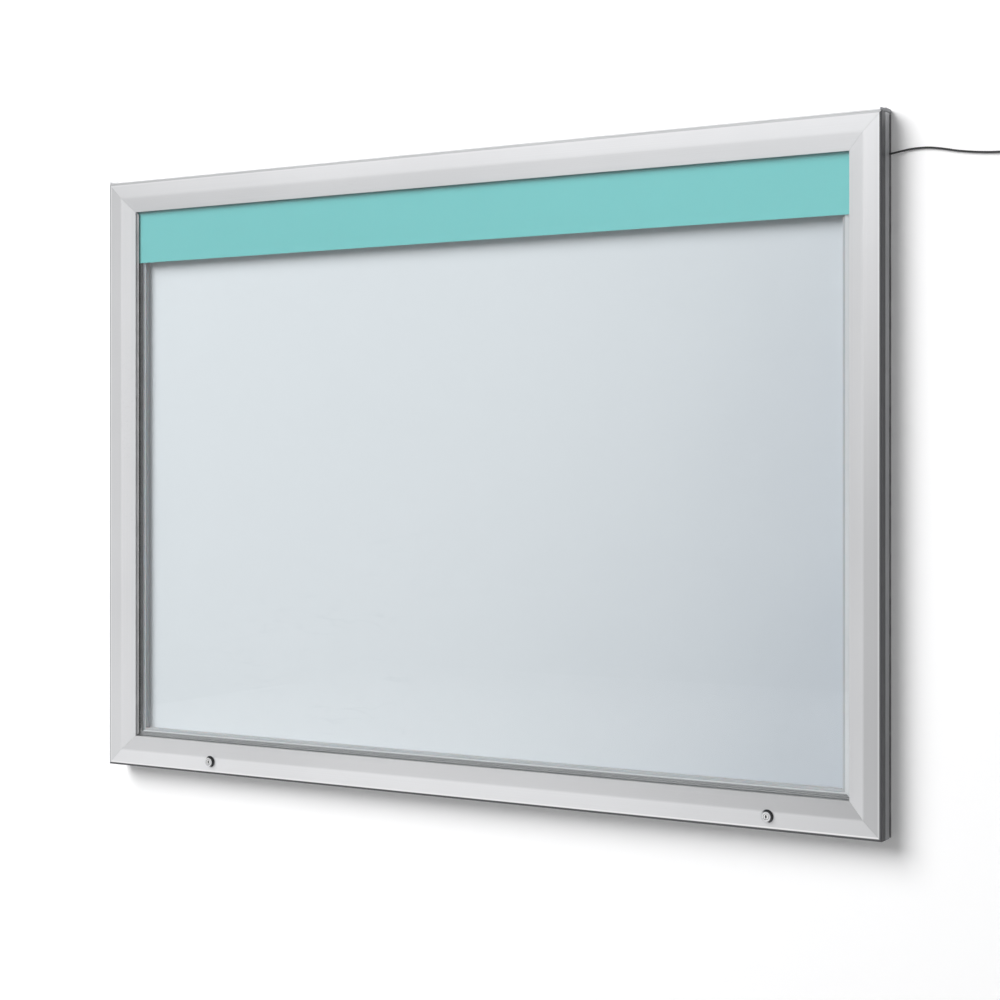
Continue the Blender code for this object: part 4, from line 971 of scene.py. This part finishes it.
def lamp_board(way, axis):
    """Light board: white solder mask, copper tracks along it where the sine over its width is
    small, and a yellow chip at each pitch."""
    tree, here = new_finish("lamp_board_" + way, Metallic=0.0)
    cloud = effect(tree, "cloud_tone", here, Per_Metre=30.0)
    chip_pitch, track_turn = 0.060, 1100.0
    pitches = maths(tree, "DIVIDE", coordinate(tree, here, axis), chip_pitch)
    step = minus(tree, maths(tree, "FRACT", plus(tree, pitches, 100.5)), 0.5)
    chip = ranged(tree, maths(tree, "ABSOLUTE", step), 0.030, 0.036, 1.0, 0.0)
    wave = maths(tree, "SINE", times(tree, coordinate(tree, here, "Y"), track_turn))
    track = ranged(tree, maths(tree, "ABSOLUTE", wave), 0.0, 0.2, 0.35, 0.0)
    colour = blended(tree, cloud[0], (0.84, 0.85, 0.83), (0.90, 0.90, 0.87))
    colour = blended(tree, track, colour, (0.72, 0.70, 0.60))
    colour = blended(tree, chip, colour, (0.90, 0.72, 0.20))
    dress(tree, colour, varied(tree, cloud[1], 0.35, 0.5), track, 0.3, 0.00004)


def moulded(name, dark, light, roughness, pits=1400.0):
    """Moulded black plastic: eroded skin, slight tone, dust on what faces up."""
    tree, here = new_finish(name, Metallic=0.0, Specular_IOR_Level=0.45)
    skin = effect(tree, "moulded_skin", here, Pits_per_Metre=pits)
    dust = effect(tree, "settled_dust", here, Amount=0.2)[0]
    colour = blended(tree, varied(tree, skin[1], 0.0, 1.0), dark, light)
    colour = blended(tree, dust, colour, (0.34, 0.33, 0.31))
    rough = varied(tree, skin[1], roughness - 0.06, roughness + 0.08)
    dress(tree, colour, rough, skin[0], 0.25, 0.00005)


def make_finishes():
    """Every finish of the case; pieces and nodes find theirs by its name."""
    make_effects()
    door = dict(light=(0.82, 0.825, 0.84), dark=(0.76, 0.765, 0.78), roughness=0.38, metallic=0.55)
    # The case's outer skin is painted darker than its inside as shade; the inside has the metal's
    # own colour
    case = dict(light=(0.58, 0.59, 0.605), dark=(0.50, 0.51, 0.525), roughness=0.42, metallic=0.55,
                inner_colour=(0.76, 0.77, 0.785))
    # The door rails' outer corners are painted this dark colour as shade
    anodised("satin_anodised_door", surface_map=True, painted_edge_shade=(0.100, 0.102, 0.108), **door)
    anodised("satin_anodised_level", **door)
    anodised("satin_anodised_upright", turned=True, **door)
    anodised("case_anodised_level", **case)
    anodised("case_anodised_upright", turned=True, **case)
    # A darker copy of the case metal for the right end caps: painted shade
    anodised("case_anodised_ends", (0.36, 0.365, 0.38), (0.30, 0.305, 0.32), 0.45, 0.5)
    zinc_plated()
    # The plug's key slot is painted nearly black as the shade inside it
    bright_metal("lock_plug_nickel", (0.80, 0.80, 0.81), (0.90, 0.90, 0.91),
                 painted_key_slot, (0.04, 0.04, 0.042))
    # The head's sloping side is painted nearly black as shade
    bright_metal("lock_head_chrome", (0.80, 0.81, 0.83), (0.92, 0.92, 0.93),
                 painted_flank_shade, (0.085, 0.085, 0.09))
    clear_acrylic()
    printed_film()
    coated_panel()
    pressed_board()
    # The lowest run of the seal is painted lighter: painted light
    rubber("sealing_rubber", (0.068, 0.069, 0.073), (0.105, 0.106, 0.111), 0.55,
           painted_light_low=(0.25, 0.25, 0.255))
    rubber("glazing_tape_rubber", (0.36, 0.36, 0.365), (0.45, 0.45, 0.455), 0.6)
    # Grey foam of the wall gasket, which stands in for the contact shadow at the wall: partly
    # painted shade
    rubber("gasket_foam", (0.27, 0.27, 0.275), (0.38, 0.38, 0.385), 0.8)
    opal()
    lamp_board("level", "X")
    lamp_board("upright", "Z")
    moulded("hinge_cap_plastic", (0.055, 0.056, 0.060), (0.085, 0.086, 0.090), 0.45)
    moulded("black_nylon", (0.022, 0.022, 0.023), (0.040, 0.040, 0.041), 0.50)
    moulded("lead_sheath", (0.026, 0.026, 0.028), (0.042, 0.042, 0.044), 0.42, pits=2200.0)
    moulded("plug_moulding", (0.022, 0.022, 0.024), (0.036, 0.036, 0.038), 0.48)


def node_finish(name):
    """Which finish a carried-over node gets, by the start of its name: the first that fits."""
    way = "upright" if name.endswith(("left", "right")) else "level"
    table = [
        ("case_rail", "case_anodised_" + way), ("door_rail", "satin_anodised_" + way),
        ("glazing_bead", "satin_anodised_" + way), ("hinge_leaf", "satin_anodised_level"),
        ("hinge_cap", "hinge_cap_plastic"), ("glazing", "clear_acrylic"),
        ("header_panel", "teal_film"), ("back_panel", "coated_panel_white"),
        ("backing_board", "pressed_fibre_board"), ("door_seal", "sealing_rubber"),
        ("diffuser", "opal_diffuser_plastic"), ("light_board", "lamp_board_" + way),
        ("lock_body", "lock_plug_nickel"), ("lock_plug", "lock_plug_nickel"),
        ("stay_shoe", "black_nylon"), ("lead_grommet", "black_nylon"),
        ("coil_tie", "black_nylon"), ("lead_hook", "black_nylon"),
        ("inner_lead", "lead_sheath"), ("lead_", "lead_sheath"),
    ]
    return next((finish for start, finish in table if name.startswith(start)),
                "zinc_plated_steel")


def finish_nodes():
    """Give every carried-over node its finish."""
    for name, node in NODES.items():
        for slot in node.material_slots:
            slot.material = bpy.data.materials[node_finish(name)]


# Pieces

def make_door_frame():
    """Four mitred door rails: a flat band, a slope down to the lip, the rebate for the glazing
    and a leg inside the case, round a chamber with walls of one thickness."""
    outside = rounded(
        [(0, 0), (BAND_WIDTH, 0), (LIP_INSET, LIP_SETBACK), (LIP_INSET, LIP_BACK),
         (REBATE_INSET, LIP_BACK), (REBATE_INSET, LEG_DEPTH), (LEG_INSET, LEG_DEPTH),
         (LEG_INSET, DOOR_DEPTH), (0, DOOR_DEPTH)],
        [0.0022, 0.0030, 0.0004, 0.0002, 0.0002, 0.0002, 0.0002, 0.0004, 0.0005], 7)
    last = LEG_INSET - 0.0017
    slope = (last - BAND_WIDTH) / (LIP_INSET - BAND_WIDTH) * LIP_SETBACK
    back = DOOR_DEPTH - DOOR_WALL
    chamber = rounded([(DOOR_WALL, DOOR_WALL), (BAND_WIDTH, DOOR_WALL),
                       (last, slope + DOOR_WALL), (last, back), (DOOR_WALL, back)], 0.0005, 3)
    for side in SIDES:
        mitred_rail(side, outside, chamber, "satin_anodised_door")


def make_seals():
    """The door seal, a flat base with three ribs: crest over base as |sin 3 pi s|^0.6 across its
    width; and the thin grey tape that shows between the door's lip and the glazing."""
    share = np.linspace(0, 1, 41)
    ribs = 0.35 + 0.65 * np.abs(np.sin(share * math.pi * 3)) ** 0.6
    top = np.stack([SEAL_INSET + SEAL_WIDTH * share,
                    SEAL_BASE - (SEAL_BASE - SEAL_CREST) * ribs], 1)
    outline = np.concatenate([top, [[SEAL_INSET + SEAL_WIDTH, SEAL_BASE],
                                    [SEAL_INSET, SEAL_BASE]]])
    seal = frame_ring("ribbed_seal", outline, "sealing_rubber", "case", smooth=50,
                      widths={"top": 0.25, "right": 0.06, "bottom": 0.85})
    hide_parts("door_seal")
    tape_edge = oblong(TAPE_START, TAPE_END, LIP_BACK, LIP_BACK + TAPE_THICKNESS)
    tape = frame_ring("glazing_tape", rounded(tape_edge, 0.0001, 3), "glazing_tape_rubber", "door",
                      widths={"left": 3.2})


def make_wall_gasket():
    """Foam strip in the step round the back of the case, a hair inside its outline. It gives the
    dark
    line where the case meets the wall: partly painted shade, standing in for the contact shadow
    there.
    """
    outline = rounded(oblong(GASKET_START, GASKET_END, GASKET_FRONT, GASKET_BACK),
                      [0.0008, 0.0003, 0.0002, 0.0003], 5)
    gasket = frame_ring("wall_gasket", outline, "gasket_foam", "case")


def hexagon(across, corner, bore, chamfer):
    """Radius of a nut: flats across / 2 / cos of the angle from the flat, cut at the corner, and
    chamfered where the profile is narrower; the bore stays round."""
    def radius_of(radius, angle):
        flat = across / 2 / np.cos((angle + math.pi / 6) % (math.pi / 3) - math.pi / 6)
        return np.where(radius > bore, np.minimum(np.minimum(flat, corner), radius + chamfer),
                        radius)
    return radius_of


def make_locks():
    """Each lock: a turned head with a rolled edge and a fine groove round the plug, its barrel,
    and a six-sided nut behind the door. The head's sloping side is marked for painted shade, more
    to the right."""
    edge = np.linspace(0, math.pi / 2, 7)
    rolled = np.stack([0.0067 + 0.0005 * np.sin(edge), 0.0057 + 0.0005 * np.cos(edge)], 1)
    head = [(0.0043, 0.0052), (0.0046, 0.0060), (0.0050, 0.0062), (0.0057, 0.0062),
            (0.0060, 0.0059), (0.0063, 0.0059), (0.0066, 0.0062), *rolled,
            (0.0074, 0.0053), (0.0100, 0.0014), (0.0103, 0.0011), (0.0104, 0.0008),
            (0.0102, 0.0004), (0.0065, 0.0003), (0.0065, -0.0178),
            (0.0062, -0.0180), (0.0043, -0.0180)]
    nut = [(0.0066, -0.0158), (0.0085, -0.0158), (0.0094, -0.0162), (0.0094, -0.0174),
           (0.0085, -0.0178), (0.0066, -0.0178)]
    slope = np.array([0.0073 < radius < 0.0102 and height > 0.0005 for radius, height in head],
                     float)
    for side, (x, _) in LOCKS.items():
        place = (x, -CASE_DEPTH, LOCK_Z)
        grid = turned_grid(head, place, (0, -1, 0), 56)
        # Painted shade: the sloping side is darkest towards the upper right and clear at the left
        to_right = 0.9 * (grid[..., 0] - x) + 0.42 * (grid[..., 2] - LOCK_Z)
        flank_shade = slope[:, None] * np.clip(0.75 + to_right / 0.008, 0, 1)
        body = turned_piece("lock_head_" + side, head, place, (0, -1, 0), "lock_head_chrome",
                            "door", closed=True, sides=56, marks={"flank_shade": flank_shade})
        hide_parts("lock_body_" + side)
        piece = turned_piece("lock_nut_" + side, nut, place, (0, -1, 0), "zinc_plated_steel",
                             "door", closed=True, sides=48,
                             radius_of=hexagon(0.0165, 0.0096, 0.0070, 0.0008))


def plate_piece(name, outline, x, thickness, finish, body):
    """A flat piece: the outline (depth, height over the top edge) carried through the thickness,
    its rim eased at both faces."""
    outline = np.array(outline, float)
    rings = [eased_in(outline, amount) for amount in PLATE_EASE]
    grid = np.stack([np.stack([np.full(len(ring), x + step), ring[:, 0] - CASE_DEPTH,
                               ring[:, 1] + HALF_HEIGHT], 1)
                     for ring, step in zip(rings, PLATE_SHARES * thickness)])
    rows, columns = grid.shape[:2]
    faces, row, column = grid_faces(rows, columns)
    cap = cap_faces(rings[0])
    corner_map = np.concatenate([flat_map(row * thickness / 3, column * 0.001),
                                 np.zeros((2 * cap.size, 2))])
    return new_piece(name, grid.reshape(-1, 3), [*faces, *cap, *(cap + (rows - 1) * columns)],
                     corner_map, finish, body)


def make_end_caps():
    """Ends of the hinge: a case cap round the pivot that runs back to the wall, and a door
    cap in front of it with a hollow that clears the case cap as the door swings."""
    knuckle = arc(HINGE_PIVOT, 0.0046, 215, 60, 16)
    rear = rounded([(0.0250, 0.0061), (0.0416, 0.0061), (0.0416, CAP_FLOOR)],
                   [0.0016, 0.0034, 0.0003], 6)
    case_cap = np.concatenate([knuckle[knuckle[:, 1] > CAP_FLOOR], rear])
    hollow = arc(HINGE_PIVOT, 0.0050, 128, 192, 9)
    front = rounded([(0.0150, CAP_FLOOR), (0.0012, CAP_FLOOR), (0.0012, 0.0052)],
                    [0.0002, 0.0003, 0.0042], 8)
    door_cap = np.concatenate([front, hollow[hollow[:, 1] > CAP_FLOOR]])
    # The right caps take the darker copy of the case metal as painted shade; the left ones the
    # door's metal
    for side, x, finish in (("left", -HALF_WIDTH, "satin_anodised_level"),
                            ("right", HALF_WIDTH - CAP_THICKNESS, "case_anodised_ends")):
        cap = plate_piece("case_end_cap_" + side, case_cap, x, CAP_THICKNESS, finish, "case")
        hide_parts("hinge_cap_" + side)
        cap = plate_piece("door_end_cap_" + side, door_cap, x, CAP_THICKNESS, finish, "door")


def make_coil_tie():
    """The coil's tie: a strap carried round a rounded loop, its ratchet head and cut tail in
    front; and the hook the coil hangs on, screwed to the wall through the coil's middle."""
    line = rounded(oblong(-0.0010, -0.0163, -0.02385, -0.01165), 0.0022, 6)
    way = unit(np.roll(line, -1, 0) - np.roll(line, 1, 0))
    normal = np.stack([way[:, 1], -way[:, 0]], 1)
    section = rounded(oblong(-0.0005, 0.0005, -0.003, 0.003), 0.0003, 3)
    yz = line[:, None] + normal[:, None] * section[None, :, :1]
    grid = np.concatenate([np.broadcast_to(section[None, :, 1:], yz.shape[:2] + (1,)), yz], -1)
    strap = surface_piece("coil_strap", grid + np.array([COIL_X, 0, COIL_Z]), "black_nylon",
                          "case", wrap_rows=True)
    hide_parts("coil_tie")
    head = rounded(oblong(-0.0166, -0.0194, -0.0150, -0.0202), 0.0008, 5)
    tail = rounded([(-0.0172, -0.0160), (-0.0184, -0.0160), (-0.0184, -0.0205),
                    (-0.0204, -0.0262), (-0.0195, -0.0266), (-0.0172, -0.0208)],
                   [0.0002, 0.0002, 0.002, 0.0002, 0.0002, 0.002], 5)
    hook = rounded([(-0.0001, -0.0090), (-0.0001, 0.0099), (-0.0160, 0.0099), (-0.0160, 0.0199),
                    (-0.0176, 0.0199), (-0.0176, 0.0044), (-0.0016, 0.0044), (-0.0016, -0.0090)],
                   [0.0003, 0.0004, 0.0012, 0.0006, 0.0006, 0.0024, 0.0014, 0.0005], 5)
    for name, outline, width in (("coil_strap_head", head, 0.0076),
                                 ("coil_strap_tail", tail, 0.0046), ("coil_hook", hook, 0.0080)):
        outline = outline + np.array([CASE_DEPTH, COIL_Z - HALF_HEIGHT])
        piece = plate_piece(name, outline, COIL_X - width / 2, width, "black_nylon", "case")
    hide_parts("lead_hook")
    screw_heads("hook_screw", [(COIL_X, -0.0016, COIL_Z - 0.0045)], (0, -1, 0), 0.0026, 0.0012,
                "zinc_plated_steel", "case")


def make_stay_rivets():
    """Domed rivet heads where each stay turns, and the two screws of its bracket on the door."""
    rivet_y, screw_y, screw_inset, screw_lift = -0.0215, -0.0247, 0.0205, 0.006
    dome = [(0, 0.0012), (0.0011, 0.00115), (0.0022, 0.0009), (0.0030, 0.0004), (0.0032, 0), (0, 0)]
    for side, sign in (("left", -1), ("right", 1)):
        for name, body in (("bracket", "door"), ("shoe", "stay_" + side)):
            inset, z = STAY_PLACES[name]
            rivet = turned_piece("stay_rivet_%s_%s" % (name, side), dome,
                                 (sign * (HALF_WIDTH - inset), rivet_y, z), (-sign, 0, 0),
                                 "zinc_plated_steel", body, sides=24)
        places = [(sign * (HALF_WIDTH - screw_inset), screw_y, STAY_PLACES["bracket"][1] + lift)
                  for lift in (-screw_lift, screw_lift)]
        screw_heads("stay_screws_" + side, places, (0, 1, 0), 0.0022, 0.0009, "zinc_plated_steel",
                    "door")


def make_screws():
    """Screws of the corner plates and keepers on the case's rear webs, and the hinge's row."""
    face = WEB_FACE - CASE_DEPTH
    near, far = 0.024, 0.064
    plates = [(sx * (HALF_WIDTH - a), face, sz * (HALF_HEIGHT - b))
              for sx in (-1, 1) for sz in (-1, 1) for a, b in ((near, near), (near, far),
                                                               (far, near))]
    keepers = [(x + inward * 0.0272, face, LOCK_Z + lift)
               for x, inward in LOCKS.values() for lift in (-0.0050, 0.0050)]
    screw_heads("case_plate_screws", plates + keepers, (0, -1, 0), 0.0028, 0.0014,
                "zinc_plated_steel", "case")
    hinge_depth, hinge_top, row_reach, row_count = 0.0345, 0.0023, 0.68, 12
    row = [(x, hinge_depth - CASE_DEPTH, HALF_HEIGHT + hinge_top)
           for x in np.linspace(-row_reach, row_reach, row_count)]
    screw_heads("hinge_screws", row, (0, 0, 1), 0.0026, 0.0010, "zinc_plated_steel", "case")


set_camera()
set_world()
set_room()
set_lamps()
make_finishes()
make_lead()
finish_nodes()
make_door_frame()
make_seals()
make_wall_gasket()
make_locks()
make_end_caps()
make_coil_tie()
make_stay_rivets()
make_screws()
